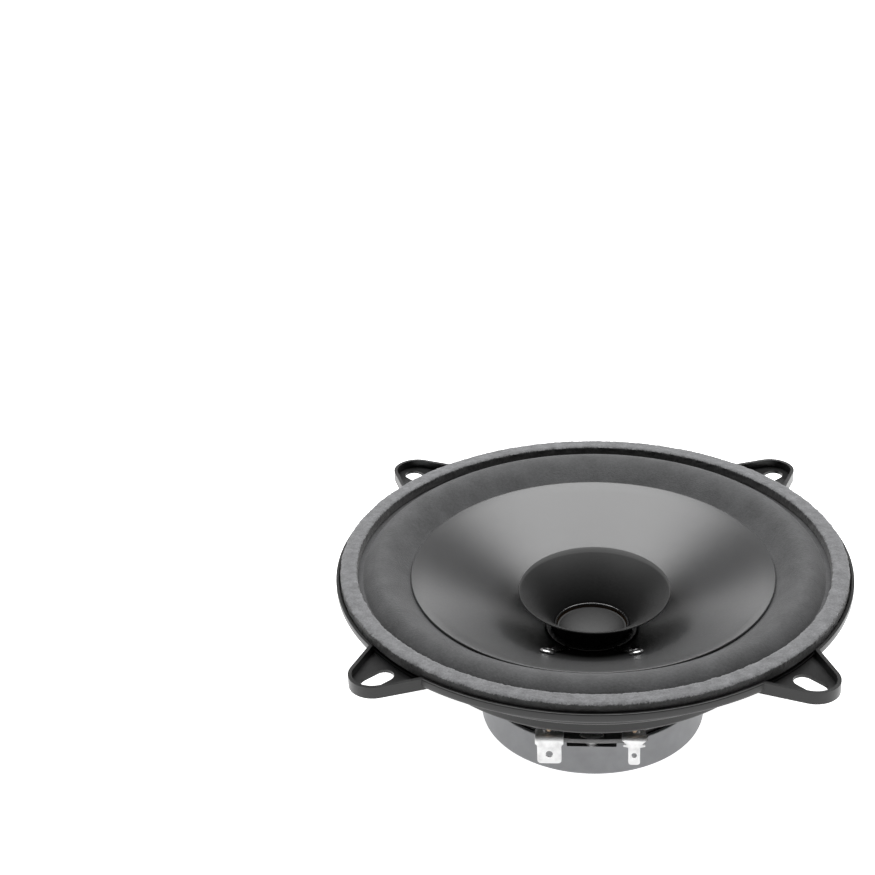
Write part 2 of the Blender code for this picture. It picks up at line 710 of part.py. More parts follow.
def make_glue_run(name, start, end, glue):
    """A low rounded ridge that lies along X, with tapered ends."""
    sections = ((start, 0.5), (start + 1.0, 1.0), (end - 1.0, 1.0), (end, 0.5))
    mesh_data = bmesh.new()
    rings = []
    for x, scale in sections:
        ring = []
        for index in range(7):
            angle = pi * index / 6
            y = GLUE_RUN_RADIUS * scale * cos(angle)
            z = FIT_GAP + GLUE_RUN_RADIUS * scale * sin(angle)
            ring.append(mesh_data.verts.new((x, y, z)))
        rings.append(ring)
    for first, second in zip(rings, rings[1:]):
        for index in range(7):
            after = (index + 1) % 7
            mesh_data.faces.new((first[index], first[after], second[after], second[index]))
    mesh_data.faces.new(rings[0])
    mesh_data.faces.new(rings[-1][::-1])
    return add_object(name, mesh_data, glue)


def smooth_route(points, per_span):
    """Points of a Catmull-Rom curve through every given point."""
    ends = [2 * points[0] - points[1], *points, 2 * points[-1] - points[-2]]
    route = []
    for a, b, c, d in zip(ends, ends[1:], ends[2:], ends[3:]):
        for index in range(per_span):
            t = index / per_span
            route.append(0.5 * (
                2 * b + (c - a) * t + (2 * a - 5 * b + 4 * c - d) * t ** 2
                + (3 * b - a - 3 * c + d) * t ** 3
            ))
    route.append(points[-1])
    return route


def make_lead(name, side, braid):
    """A flexible braided lead, as a tube along its own route."""
    points = [Vector((side * x, y, z)) * MM for x, y, z in LEAD_POINTS]
    route = smooth_route(points, 3)
    curve = bpy.data.curves.new(name, "CURVE")
    curve.dimensions = "3D"
    curve.bevel_depth = LEAD_RADIUS * MM
    curve.bevel_resolution = 2
    curve.use_fill_caps = True
    spline = curve.splines.new("POLY")
    spline.points.add(len(route) - 1)
    for point, place_in_space in zip(spline.points, route):
        point.co = (*place_in_space, 1.0)
    curve.materials.append(braid)
    lead = bpy.data.objects.new(name, curve)
    bpy.context.scene.collection.objects.link(lead)
    return lead


def hang_on_axis(pieces):
    """Parent the moving pieces to an empty on the axis that the cone travels along."""
    axis = bpy.data.objects.new("cone_travel_axis", None)
    axis.location = Vector(COIL_AXIS_POINT) * MM
    bpy.context.scene.collection.objects.link(axis)
    for piece in pieces:
        piece.parent = axis
        piece.matrix_parent_inverse = Matrix.Translation(axis.location).inverted()


def main():
    clear_scene()
    black_paint = make_material("black frame paint", (0.02, 0.02, 0.022), 0.4)
    grey_felt = make_material("grey gasket felt", (0.24, 0.24, 0.25), 0.95)
    cover_paint = make_material("grey magnet cover", (0.16, 0.165, 0.18), 0.5)
    steel = make_material("dark plated steel", (0.1, 0.1, 0.1), 0.4, 0.8)
    ferrite = make_material("ferrite", (0.04, 0.04, 0.045), 0.7)
    fibre = make_material("terminal board fibre", (0.12, 0.12, 0.11), 0.8)
    tinplate = make_material("tin plate", (0.8, 0.8, 0.8), 0.25, 1.0)
    foam = make_material("surround foam", (0.05, 0.05, 0.055), 0.9)
    cloth = make_material("spider cloth", (0.35, 0.22, 0.08), 0.9)
    cone_grey = make_material("grey cone", (0.15, 0.15, 0.16), 0.5)
    black_paper = make_material("black paper", (0.025, 0.025, 0.027), 0.7)
    black_cloth = make_material("black cap cloth", (0.02, 0.02, 0.02), 0.8)
    kapton = make_material("coil former", (0.3, 0.2, 0.08), 0.5)
    copper = make_material("copper winding", (0.7, 0.3, 0.15), 0.35, 1.0)
    glue = make_material("black glue", (0.01, 0.01, 0.01), 0.3)
    brass = make_material("blackened eyelet", (0.03, 0.03, 0.03), 0.4, 0.6)
    braid = make_material("tinsel braid", (0.6, 0.45, 0.3), 0.5, 0.7)

    make_basket(black_paint)
    make_gasket(grey_felt)
    make_motor(steel, ferrite, cover_paint)
    make_plate_rivets(steel)
    make_terminals(fibre, tinplate, tinplate)
    moving = [
        make_cone(cone_grey),
        make_whizzer(black_paper),
        make_dust_cap(black_cloth),
        *make_voice_coil(kapton, copper, glue),
        *make_lead_outs(brass, glue),
    ]
    hang_on_axis(moving)
    make_surround(foam)
    make_spider(cloth)
    make_lead("positive_lead", -1.0, braid)
    make_lead("negative_lead", 1.0, braid)


main()
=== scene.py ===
"""Looks of the dual-cone car loudspeaker: fine meshes, materials, floor, lights and camera.

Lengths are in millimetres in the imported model's frame, and become metres where vertices are made.
A turned piece is an outline of (radius, height) points that is spun round the Z axis.
"""
from math import asin, cos, degrees, hypot, pi, radians, sin, tan

import bmesh
import bpy
import numpy as np
from mathutils import Matrix, Vector, noise


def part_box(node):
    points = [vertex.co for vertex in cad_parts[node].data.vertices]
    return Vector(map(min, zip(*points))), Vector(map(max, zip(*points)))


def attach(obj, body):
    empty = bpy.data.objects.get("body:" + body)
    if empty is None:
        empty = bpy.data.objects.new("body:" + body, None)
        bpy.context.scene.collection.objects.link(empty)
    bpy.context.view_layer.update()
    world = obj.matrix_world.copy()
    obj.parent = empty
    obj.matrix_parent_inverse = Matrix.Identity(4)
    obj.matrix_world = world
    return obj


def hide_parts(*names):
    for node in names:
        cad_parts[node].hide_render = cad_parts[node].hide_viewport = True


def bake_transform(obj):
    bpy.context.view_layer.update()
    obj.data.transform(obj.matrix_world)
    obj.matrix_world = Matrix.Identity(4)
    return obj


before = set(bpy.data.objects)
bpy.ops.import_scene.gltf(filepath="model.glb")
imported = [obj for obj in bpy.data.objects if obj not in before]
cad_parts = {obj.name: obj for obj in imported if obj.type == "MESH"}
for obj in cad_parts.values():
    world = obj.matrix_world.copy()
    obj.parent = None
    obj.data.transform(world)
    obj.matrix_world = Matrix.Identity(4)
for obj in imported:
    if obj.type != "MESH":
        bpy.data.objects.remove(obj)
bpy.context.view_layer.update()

MM = 0.001
FIXED = "frame"
MOVING = "cone_assembly"


def low(node, axis):
    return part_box(node)[0][axis] / MM


def high(node, axis):
    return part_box(node)[1][axis] / MM


# Sizes read from the CAD nodes
RING_RADIUS = high("basket", 0)
RIM_TOP = high("basket", 2)
GASKET_OUTER = high("gasket_ring", 0)
GASKET_TOP = high("gasket_ring", 2)
GASKET_BOTTOM = low("gasket_ring", 2)
LIP_OUTER = high("surround", 0)
CONE_RIM_TOP = high("cone", 2)
WHIZZER_RIM_TOP = high("whizzer_cone", 2)
CAP_RADIUS = high("dust_cap", 0)
CAP_TOP = high("dust_cap", 2)
COVER_RADIUS = high("magnet_cover", 0)
COVER_HEIGHT = high("magnet_cover", 2)
FLOOR_ABOVE_PLATE = 1.3
FLOOR_TOP = high("top_plate", 2) + FLOOR_ABOVE_PLATE

# Frame, as drawn in the CAD
FIT_GAP = 0.3
SHEET = 0.9
FLOOR_BORE = 14.0
FLOOR_EDGE = 33.6
LEDGE_TOP = 22.0
LEDGE = (35.2, 38.0)
ARM_FOOT = (38.8, 22.4)
ARM_HEAD = (46.4, 27.0)
SHOULDER = ((47.8, 34.2), (55.2, 35.9), (56.6, 43.2))
LAND_TOP = 43.2
RIM_INNER = RING_RADIUS - SHEET
WINDOW = (39.6, 45.2)
WINDOW_CUT = (18.0, 34.0)
WINDOW_HALF_ANGLES = {0.0: 32.0, 90.0: 32.0, 180.0: 32.0, 270.0: 20.0}
DIAGONALS = (45.0, 135.0, 225.0, 315.0)
EAR_FLOOR = (41.8, 42.6)
EAR_TIP_CENTRE = 70.4
EAR_TIP_RADIUS = 6.1
EAR_ROOT_HALF_ANGLE = 8.55
SLOT_CENTRE = 69.6
SLOT_LENGTH = 8.6
SLOT_WIDTH = 4.7
PLATE_RIVET_CIRCLE = 20.5
PLATE_RIVET_HOLE = 1.5

# Motor
MAGNET_BORE = 14.0
PLATE_BORE = 10.4
POLE_RADIUS = 8.95
YOKE_BASE = 3.5
COVER_WALL = 1.0

# Cone, suspension and coil
GASKET_INNER = 59.5
GASKET_EDGE = 0.35
CONE_INNER = 9.8
CONE_NECK_TOP = 23.9
CONE_THICKNESS = 0.5
CONE_OUTER = 46.0
CONE_SLOPE = (CONE_RIM_TOP - CONE_NECK_TOP) / (CONE_OUTER - CONE_INNER)
ROLL_INNER = 46.6
ROLL_OUTER = 58.2
ROLL_RISE = 3.8
LIP_TOP = 43.9
SPIDER_TOP = 22.7
THROAT = (9.75, 26.2)
WHIZZER_PULL = (11.6, 31.8)
WHIZZER_RIM = (19.3, 36.8)
WHIZZER_SHIFT = 0.7  # the flare is not quite true: sideways at its rim
WHIZZER_LEAN = 0.04  # and up at the back
EYELET_CIRCLE = 24.2
EYELET_ANGLE = 27.0
EYELET_HOLE = 1.1
SURROUND_LIP_INNER = 43.2
GLUE_RUN = (13.2, 21.8)
FORMER_BORE = 9.3
WINDING_BORE = 9.6

# Terminals
TERMINAL_TILT = 20.0
TONGUE_HALF_WIDTH = 6.0
TONGUE_START = 33.0
TONGUE_END = 42.0
BOARD_HALF_WIDTH = 13.5
BOARD_INNER = 37.0
BOARD_RADIUS = 42.7
BOARD_THICKNESS = 1.0
BOARD_RIVET_DISTANCE = 39.4
BOARD_RIVET_HOLE = 1.7
BOARD_RIVET = (2.9, 1.4)  # radii of head and shank
TAB_DISTANCE = 10.1
TAB_FRONT = 43.0
TAB_THICKNESS = 0.8
TAB_LENGTH = 8.0
TAB_FOOT_INNER = 37.4
TAB_BEND = 1.5
TAB_RIVET_HOLE = 1.1
TAB_RIVET = (1.5, 0.8)
POSITIVE_TAB = (6.8, 5.8)  # widths of shoulder and blade
NEGATIVE_TAB = (5.8, 2.8)
BLADE_HOLE_HEIGHT = 2.6

# Facets
FINE = 288
MEDIUM = 160
SMALL = 40
SHARP_ANGLE = 38.0


# ---------------------------------------------------------------- outlines

def rounded(points, radius, closed=True, steps=4, sharpest=25.0):
    """Round every corner that turns by more than an angle; radius is one number or one per point."""
    count = len(points)
    outline = []
    for index, corner in enumerate(points):
        if not closed and index in (0, count - 1):
            outline.append(tuple(corner))
            continue
        size = radius[index] if isinstance(radius, (list, tuple)) else radius
        here = Vector(corner)
        back = Vector(points[index - 1]) - here
        ahead = Vector(points[(index + 1) % count]) - here
        turn = pi - back.angle(ahead)
        if size <= 0.0 or turn < radians(sharpest):
            outline.append(tuple(corner))
            continue
        reach = min(size * tan(turn / 2), 0.45 * back.length, 0.45 * ahead.length)
        start = here + back.normalized() * reach
        end = here + ahead.normalized() * reach
        outline += curve_points(start, here, end, steps + 1)
    return outline


def curve_points(start, pull, end, count):
    """Points of a quadratic Bezier curve, both ends included."""
    points = []
    for index in range(count):
        t = index / (count - 1)
        weights = ((1 - t) ** 2, 2 * t * (1 - t), t ** 2)
        points.append(tuple(
            weights[0] * a + weights[1] * b + weights[2] * c
            for a, b, c in zip(start, pull, end)
        ))
    return points


def sheet_outline(path, thickness):
    """Close an open path into a sheet that lies to the right of it."""
    normals = []
    for (r0, z0), (r1, z1) in zip(path, path[1:]):
        length = hypot(r1 - r0, z1 - z0)
        normals.append(((z1 - z0) / length, (r0 - r1) / length))
    other_side = []
    for index, (r, z) in enumerate(path):
        before = normals[max(index - 1, 0)]
        after = normals[min(index, len(normals) - 1)]
        sum_r, sum_z = before[0] + after[0], before[1] + after[1]
        stretch = 2.0 * thickness / (sum_r ** 2 + sum_z ** 2)
        offset_r = 0.0 if r == 0.0 else r + sum_r * stretch
        other_side.append((offset_r, z + sum_z * stretch))
    return list(path) + other_side[::-1]


def soft_sheet(path, thickness, edge=0.2):
    """A sheet outline whose four end corners are slightly rounded."""
    return rounded(sheet_outline(path, thickness), edge, steps=3, sharpest=60.0)


def ring_outline(inner, outer, bottom, top, edge=0.25):
    return rounded(((inner, bottom), (outer, bottom), (outer, top), (inner, top)), edge)


def node_ring(node, bore, edge):
    """Ring outline with a CAD node's outside and height, round a bore."""
    return ring_outline(bore, high(node, 0), low(node, 2), high(node, 2), edge)


def polar(radius, direction, height=0.0):
    return (radius * cos(radians(direction)), radius * sin(radians(direction)), height)


def cone_top(radius):
    return CONE_NECK_TOP + (radius - CONE_INNER) * CONE_SLOPE


def terminal_point(x, distance):
    """A point on the tongue's top face, whose distance beyond the floor's edge runs up its slope."""
    run = distance - FLOOR_EDGE
    tilt = radians(TERMINAL_TILT)
    return (x, -FLOOR_EDGE - run * cos(tilt), FLOOR_TOP + run * sin(tilt))


# ---------------------------------------------------------------- meshes

def add_object(name, mesh_data, material=None, sharp=SHARP_ANGLE):
    """Make a named object from a bmesh given in millimetres."""
    bmesh.ops.recalc_face_normals(mesh_data, faces=mesh_data.faces)
    bmesh.ops.scale(mesh_data, vec=(MM, MM, MM), verts=mesh_data.verts)
    mesh = bpy.data.meshes.new(name)
    mesh_data.to_mesh(mesh)
    mesh_data.free()
    new_object = bpy.data.objects.new(name, mesh)
    bpy.context.scene.collection.objects.link(new_object)
    if material is not None:
        mesh.materials.append(material)
    mesh.shade_smooth()
    mesh.set_sharp_from_angle(angle=radians(sharp))
    return new_object


def turned(name, outline, material=None, sides=MEDIUM, move=None, sharp=SHARP_ANGLE):
    """Spin a closed outline round Z. move(radius, angle, height) may shift each point."""
    mesh_data = bmesh.new()
    rings = []
    for side in range(sides):
        angle = 2 * pi * side / sides
        ring = []
        for r, z in outline:
            if move is not None:
                r, z = move(r, angle, z)
            ring.append(mesh_data.verts.new((r * cos(angle), r * sin(angle), z)))
        rings.append(ring)
    count = len(outline)
    for side in range(sides):
        first, second = rings[side], rings[(side + 1) % sides]
        for index in range(count):
            after = (index + 1) % count
            if outline[index][0] == 0.0 and outline[after][0] == 0.0:
                continue
            mesh_data.faces.new((first[index], second[index], second[after], first[after]))
    bmesh.ops.remove_doubles(mesh_data, verts=mesh_data.verts, dist=0.00001)
    return add_object(name, mesh_data, material, sharp)


def extruded(name, outline, start, end, material=None, axis="z"):
    """Raise a closed outline along an axis; along X it is drawn in (y, z), along Y in (x, z)."""
    def spot(a, b, along):
        return {"x": (along, a, b), "y": (a, along, b), "z": (a, b, along)}[axis]

    mesh_data = bmesh.new()
    near = [mesh_data.verts.new(spot(a, b, start)) for a, b in outline]
    far = [mesh_data.verts.new(spot(a, b, end)) for a, b in outline]
    mesh_data.faces.new(near)
    mesh_data.faces.new(far[::-1])
    for index in range(len(outline)):
        after = (index + 1) % len(outline)
        mesh_data.faces.new((near[index], far[index], far[after], near[after]))
    return add_object(name, mesh_data, material)


def round_cutter(name, radius, bottom, top, sides=24):
    """A plain pin that cuts a round hole."""
    return turned(name, ((0.0, bottom), (radius, bottom), (radius, top), (0.0, top)), sides=sides)


def place(piece, location, tilt_x=0.0, tilt_y=0.0, turn_z=0.0):
    piece.location = Vector(location) * MM
    piece.rotation_euler = (radians(tilt_x), radians(tilt_y), radians(turn_z))
    return piece


def combine(piece, tools, operation):
    """Join or cut a piece with tool shapes, which are used up."""
    for tool in tools:
        step = piece.modifiers.new(operation, "BOOLEAN")
        step.operation = operation
        step.object = tool
        step.solver = "EXACT"
    bake_modifiers(piece)
    for tool in tools:
        bpy.data.objects.remove(tool, do_unlink=True)
    return piece


def soften(piece, width, segments=2, angle=35.0):
    """Round a piece's sharp edges."""
    step = piece.modifiers.new("soft edges", "BEVEL")
    step.width = width * MM
    step.segments = segments
    step.limit_method = "ANGLE"
    step.angle_limit = radians(angle)
    step.use_clamp_overlap = True
    bake_modifiers(piece)
    return piece


def bake_modifiers(piece):
    bpy.context.view_layer.update()
    evaluated = piece.evaluated_get(bpy.context.evaluated_depsgraph_get())
    mesh = bpy.data.meshes.new_from_object(evaluated)
    piece.modifiers.clear()
    piece.data = mesh
    mesh.shade_smooth()
    mesh.set_sharp_from_angle(angle=radians(SHARP_ANGLE))


def finish_piece(piece, body, slot, *nodes):
    """Ride on a body and stand for CAD nodes, which are hidden; slot is not used."""
    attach(piece, body)
    if nodes:
        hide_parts(*nodes)
    return piece


def wander(angle, radius, scale, seed):
    """Smooth noise round a circle, from -1 to 1."""
    return noise.noise(Vector((cos(angle) * radius * scale, sin(angle) * radius * scale, seed)))


# ---------------------------------------------------------------- materials

def add_node(material, kind, inputs=None, **settings):
    """Add a shader node; an input is a value or another node's output."""
    tree = material.node_tree
    made = tree.nodes.new(kind)
    for name, value in settings.items():
        setattr(made, name, value)
    for name, value in (inputs or {}).items():
        if isinstance(value, bpy.types.NodeSocket):
            tree.links.new(value, made.inputs[name])
        else:
            made.inputs[name].default_value = value
    return made


def new_material(name, colour, roughness, metallic=0.0, **sockets):
    material = bpy.data.materials.new(name)
    material.use_nodes = True
    shader = material.node_tree.nodes["Principled BSDF"]
    shader.inputs["Base Color"].default_value = (*colour, 1.0)
    shader.inputs["Roughness"].default_value = roughness
    shader.inputs["Metallic"].default_value = metallic
    for name, value in sockets.items():
        shader.inputs[name.replace("_", " ")].default_value = value
    return material


def connect(material, socket, output):
    shader = material.node_tree.nodes["Principled BSDF"]
    material.node_tree.links.new(output, shader.inputs[socket])


def place_coordinates(material):
    return add_node(material, "ShaderNodeTexCoord").outputs["Object"]


def noise_value(material, size, detail=3.0, roughness=0.55, vector=None):
    """Noise whose features are about size millimetres across."""
    vector = vector or place_coordinates(material)
    settings = {"Vector": vector, "Scale": 1.0 / (size * MM), "Detail": detail, "Roughness": roughness}
    return add_node(material, "ShaderNodeTexNoise", settings).outputs["Fac"]


def calculate(material, operation, first, second=0.5, third=0.5):
    made = add_node(material, "ShaderNodeMath", operation=operation)
    for index, value in enumerate((first, second, third)):
        if isinstance(value, bpy.types.NodeSocket):
            material.node_tree.links.new(value, made.inputs[index])
        else:
            made.inputs[index].default_value = value
    return made.outputs[0]


def weighted_sum(material, first, first_share, second, second_share):
    scaled = calculate(material, "MULTIPLY", second, second_share)
    return calculate(material, "MULTIPLY_ADD", first, first_share, scaled)


def ramp(material, factor, *stops):
    """Colour ramp through (position, colour) stops."""
    made = add_node(material, "ShaderNodeValToRGB", {"Fac": factor})
    elements = made.color_ramp.elements
    while len(elements) < len(stops):
        elements.new(0.5)
    for element, (position, colour) in zip(elements, stops):
        element.position = position
        element.color = (*colour, 1.0) if isinstance(colour, tuple) else (colour, colour, colour, 1.0)
    return made.outputs["Color"]


def bumps(material, *layers):
    """Chain bump nodes from (height output, depth in millimetres, strength) layers."""
    normal = None
    for height, depth, strength in layers:
        inputs = {"Height": height, "Distance": depth * MM, "Strength": strength}
        if normal is not None:
            inputs["Normal"] = normal
        normal = add_node(material, "ShaderNodeBump", inputs).outputs["Normal"]
    connect(material, "Normal", normal)


def split_place(material):
    """X, Y, Z and the distance from the Z axis, in metres."""
    vector = place_coordinates(material)
    parts = add_node(material, "ShaderNodeSeparateXYZ", {"Vector": vector}).outputs
    flat = add_node(material, "ShaderNodeVectorMath", operation="MULTIPLY")
    material.node_tree.links.new(vector, flat.inputs[0])
    flat.inputs[1].default_value = (1.0, 1.0, 0.0)
    length = add_node(material, "ShaderNodeVectorMath", operation="LENGTH")
    material.node_tree.links.new(flat.outputs[0], length.inputs[0])
    return parts["X"], parts["Y"], parts["Z"], length.outputs["Value"]


def between(material, value, start, end):
    """0 below start, 1 above end, smooth between them (all in metres)."""
    inputs = {"Value": value, "From Min": start, "From Max": end}
    return add_node(material, "ShaderNodeMapRange", inputs, interpolation_type="SMOOTHSTEP").outputs["Result"]


def grey(value, tint=0.0):
    """A grey with a slight cool tint."""
    return (value * (1 - tint), value * (1 - 0.5 * tint), value * (1 + tint))


def paint_material():
    """Satin black stoving paint with orange peel and patches of duller finish."""
    material = new_material("black_frame_paint", grey(0.01), 0.36, Specular_IOR_Level=0.4)
    peel = noise_value(material, 1.1, 2.0)
    grit = noise_value(material, 0.25, 2.0)
    patches = noise_value(material, 14.0, 4.0)
    connect(material, "Base Color", ramp(material, patches, (0.3, grey(0.006)), (0.75, grey(0.012))))
    connect(material, "Roughness", ramp(material, patches, (0.3, 0.3), (0.7, 0.44)))
    bumps(material, (peel, 0.05, 0.35), (grit, 0.02, 0.25))
    return material


def felt_material():
    """Grey felt, light on its top face and near black below it, with a ragged border between them."""
    material = new_material("gasket_felt", grey(0.2), 0.95, Sheen_Weight=0.25, Sheen_Roughness=0.6)
    _, _, height, _ = split_place(material)
    fibres = noise_value(material, 0.45, 5.0, 0.7)
    clumps = noise_value(material, 2.6, 4.0, 0.6)
    border = calculate(material, "MULTIPLY", calculate(material, "SUBTRACT", fibres, 0.5), 0.0012)
    shifted = calculate(material, "ADD", height, border)
    face = between(material, shifted, (GASKET_TOP - 0.75) * MM, (GASKET_TOP - 0.3) * MM)
    mix_value = weighted_sum(material, clumps, 0.45, fibres, 0.55)
    tones = (0.3, grey(0.08, 0.02)), (0.5, grey(0.14, 0.02)), (0.72, grey(0.24, 0.02))
    light = ramp(material, mix_value, *tones)
    dark = ramp(material, fibres, (0.3, grey(0.012)), (0.75, grey(0.035)))
    mixed = add_node(material, "ShaderNodeMix", data_type="RGBA")
    links = material.node_tree.links
    links.new(face, mixed.inputs[0])
    links.new(dark, mixed.inputs[6])
    links.new(light, mixed.inputs[7])
    connect(material, "Base Color", mixed.outputs[2])
    bumps(material, (clumps, 0.25, 0.4), (fibres, 0.12, 0.7))
    return material


def foam_material():
    """Dark pressed foam with a fine pitted grain."""
    material = new_material("surround_foam", grey(0.06), 0.75, Sheen_Weight=0.15, Sheen_Roughness=0.5)
    cells = add_node(
        material,
        "ShaderNodeTexVoronoi",
        {"Vector": place_coordinates(material), "Scale": 1.0 / (0.42 * MM), "Randomness": 1.0},
    ).outputs["Distance"]
    grain = noise_value(material, 0.7, 5.0, 0.7)
    clouds = noise_value(material, 6.0, 4.0)
    mixed = weighted_sum(material, clouds, 0.5, grain, 0.5)
    tones = (0.33, grey(0.035, 0.02)), (0.68, grey(0.075, 0.02))
    connect(material, "Base Color", ramp(material, mixed, *tones))
    bumps(material, (grain, 0.12, 0.5), (cells, 0.08, 0.5))
    return material


def cone_material():
    """Coated grey pulp, with painted shade and a painted reflection of the whizzer darkening it towards the
    neck, and faint clouds and fibres.
    """
    material = new_material("grey_cone", grey(0.03, 0.03), 0.42, Coat_Weight=0.5, Coat_Roughness=0.4)
    _, _, _, radius = split_place(material)
    # Painted shade and reflection: the cone grows darker towards the neck, standing in for the whizzer's
    # shadow and its dark reflection.
    painted_whizzer_shade = between(material, radius, 20.5 * MM, 29.5 * MM)
    fibres = noise_value(material, 0.6, 5.0, 0.7)
    clouds = noise_value(material, 9.0, 4.0)
    tone = weighted_sum(material, clouds, 0.12, fibres, 0.1)
    shade = calculate(material, "ADD", calculate(material, "MULTIPLY", painted_whizzer_shade, 0.85), tone)
    connect(material, "Base Color", ramp(
        material, shade,
        (0.06, grey(0.002)), (0.35, grey(0.006, 0.02)), (0.8, grey(0.016, 0.03)), (1.0, grey(0.022, 0.03)),
    ))
    connect(material, "Roughness", ramp(material, fibres, (0.3, 0.3), (0.7, 0.4)))
    bumps(material, (clouds, 0.1, 0.1), (fibres, 0.03, 0.2))
    return material


def black_paper_material():
    material = new_material("black_whizzer_paper", grey(0.012), 0.48, Specular_IOR_Level=0.35)
    fibres = noise_value(material, 0.5, 5.0, 0.7)
    _, _, height, _ = split_place(material)
    # Painted highlight: the colour turns paler in a thin band at the top of the rim, where the rim's edge
    # catches the light.
    edge = between(material, height, (WHIZZER_RIM_TOP - 0.35) * MM, WHIZZER_RIM_TOP * MM)
    tone = weighted_sum(material, edge, 0.6, fibres, 0.4)
    tones = (0.1, grey(0.007)), (0.35, grey(0.013)), (1.0, grey(0.05))
    connect(material, "Base Color", ramp(material, tone, *tones))
    connect(material, "Roughness", ramp(material, fibres, (0.3, 0.42), (0.7, 0.58)))
    bumps(material, (fibres, 0.04, 0.3))
    return material


def woven_material(name, dark, light, pitch, depth, roughness=0.8):
    """A square weave across X and Y."""
    material = new_material(name, light, roughness)
    x, y, _, _ = split_place(material)
    across = calculate(material, "SINE", calculate(material, "MULTIPLY", x, 2 * pi / (pitch * MM)))
    along = calculate(material, "SINE", calculate(material, "MULTIPLY", y, 2 * pi / (pitch * MM)))
    weave = calculate(material, "MULTIPLY_ADD", calculate(material, "MULTIPLY", across, along), 0.35, 0.5)
    fuzz = noise_value(material, 0.5, 4.0)
    height = weighted_sum(material, fuzz, 0.4, weave, 0.6)
    # Painted shade: the colour is darker where the weave lies low, in its hollows, with random tone from the
    # fuzz.
    connect(material, "Base Color", ramp(material, height, (0.25, dark), (0.75, light)))
    bumps(material, (height, depth, 0.6))
    return material


def glue_material():
    material = new_material("black_glue", grey(0.008), 0.14, Coat_Weight=0.5, Coat_Roughness=0.08)
    lumps = noise_value(material, 1.2, 3.0)
    bumps(material, (lumps, 0.3, 0.5))
    connect(material, "Roughness", ramp(material, lumps, (0.3, 0.1), (0.8, 0.3)))
    return material


def metal_material(name, colour, roughness, scratch=0.5, metallic=1.0):
    material = new_material(name, colour, roughness, metallic)
    fine = noise_value(material, 0.35, 4.0, 0.7)
    broad = noise_value(material, 3.0, 3.0)
    worn = tuple(channel * 0.72 for channel in colour)
    connect(material, "Base Color", ramp(material, broad, (0.25, worn), (0.55, colour)))
    polished, dull = roughness * 0.7, min(1.0, roughness * 1.4)
    connect(material, "Roughness", ramp(material, fine, (0.3, polished), (0.75, dull)))
    bumps(material, (fine, 0.02, scratch))
    return material


def cover_material():
    """Smooth cool grey cover with a faint mottle."""
    material = new_material("magnet_cover_grey", grey(0.16, 0.06), 0.5, Coat_Weight=0.1, Coat_Roughness=0.4)
    mottle = noise_value(material, 5.0, 4.0)
    grain = noise_value(material, 0.4, 3.0)
    tones = (0.3, grey(0.29, 0.025)), (0.7, grey(0.36, 0.025))
    connect(material, "Base Color", ramp(material, mottle, *tones))
    connect(material, "Roughness", ramp(material, mottle, (0.3, 0.44), (0.7, 0.58)))
    bumps(material, (grain, 0.02, 0.25))
    return material


def mineral_material(name, dark, light, roughness):
    """Pressed or sintered stock with a fine speckle, for ferrite and fibre board."""
    material = new_material(name, light, roughness)
    speckle = noise_value(material, 0.35, 5.0, 0.75)
    clouds = noise_value(material, 4.0, 3.0)
    mixed = weighted_sum(material, clouds, 0.4, speckle, 0.6)
    connect(material, "Base Color", ramp(material, mixed, (0.3, dark), (0.7, light)))
    bumps(material, (speckle, 0.05, 0.4))
    return material


def wound_material(name, colour, pitch, metallic, roughness):
    """Fine turns stacked along Z, for the copper winding and the leads' braid."""
    material = new_material(name, colour, roughness, metallic)
    _, _, height, _ = split_place(material)
    turns = calculate(material, "SINE", calculate(material, "MULTIPLY", height, 2 * pi / (pitch * MM)))
    level = calculate(material, "MULTIPLY_ADD", turns, 0.5, 0.5)
    # Painted shade: the colour darkens in the grooves between the turns.
    shade = tuple(channel * 0.45 for channel in colour)
    connect(material, "Base Color", ramp(material, level, (0.0, shade), (0.5, colour)))
    bumps(material, (level, 0.08, 0.7))
    return material


# ---------------------------------------------------------------- frame

def ear_outline(inset, root_overlap, steps=20):
    """Ear along +X: a round tip and straight sides that spread to the ring."""
    root = polar(RING_RADIUS, EAR_ROOT_HALF_ANGLE)
    to_tip = Vector((EAR_TIP_CENTRE - root[0], -root[1]))
    taper = pi / 2 - to_tip.angle(Vector((0.0, -1.0))) - asin(EAR_TIP_RADIUS / to_tip.length)
    side_angle = pi / 2 - taper
    radius = EAR_TIP_RADIUS - inset
    outline = []
    for index in range(steps + 1):
        angle = -side_angle + 2 * side_angle * index / steps
        outline.append((EAR_TIP_CENTRE + radius * cos(angle), radius * sin(angle)))
    reach = outline[-1][0] - root[0] + root_overlap
    half_width = outline[-1][1] + reach * tan(taper)
    outline.append((outline[-1][0] - reach, half_width))
    outline.append((outline[-1][0], -half_width))
    return outline


def slot_outline():
    half_straight = (SLOT_LENGTH - SLOT_WIDTH) / 2
    outline = []
    for centre, first in ((SLOT_CENTRE + half_straight, -90.0), (SLOT_CENTRE - half_straight, 90.0)):
        for index in range(13):
            x, y, _ = polar(SLOT_WIDTH / 2, first + index * 15.0)
            outline.append((centre + x, y))
    return outline


def window_outline(half_angle):
    """Window between two arms: two arcs joined by rounded corners."""
    steps = 16
    outer, inner = [], []
    for index in range(steps + 1):
        angle = half_angle * (2 * index / steps - 1)
        outer.append(polar(WINDOW[1], angle)[:2])
        inner.append(polar(WINDOW[0], angle)[:2])
    return rounded(outer + inner[::-1], 1.6, steps=6)


def outside_ring(shape, radius):
    """Keep only what lies beyond a radius, above the frame's land."""
    disc = round_cutter("ring keep-out", radius, LAND_TOP - SHEET + 0.2, RIM_TOP + 3.0, FINE)
    return combine(shape, [disc], "DIFFERENCE")


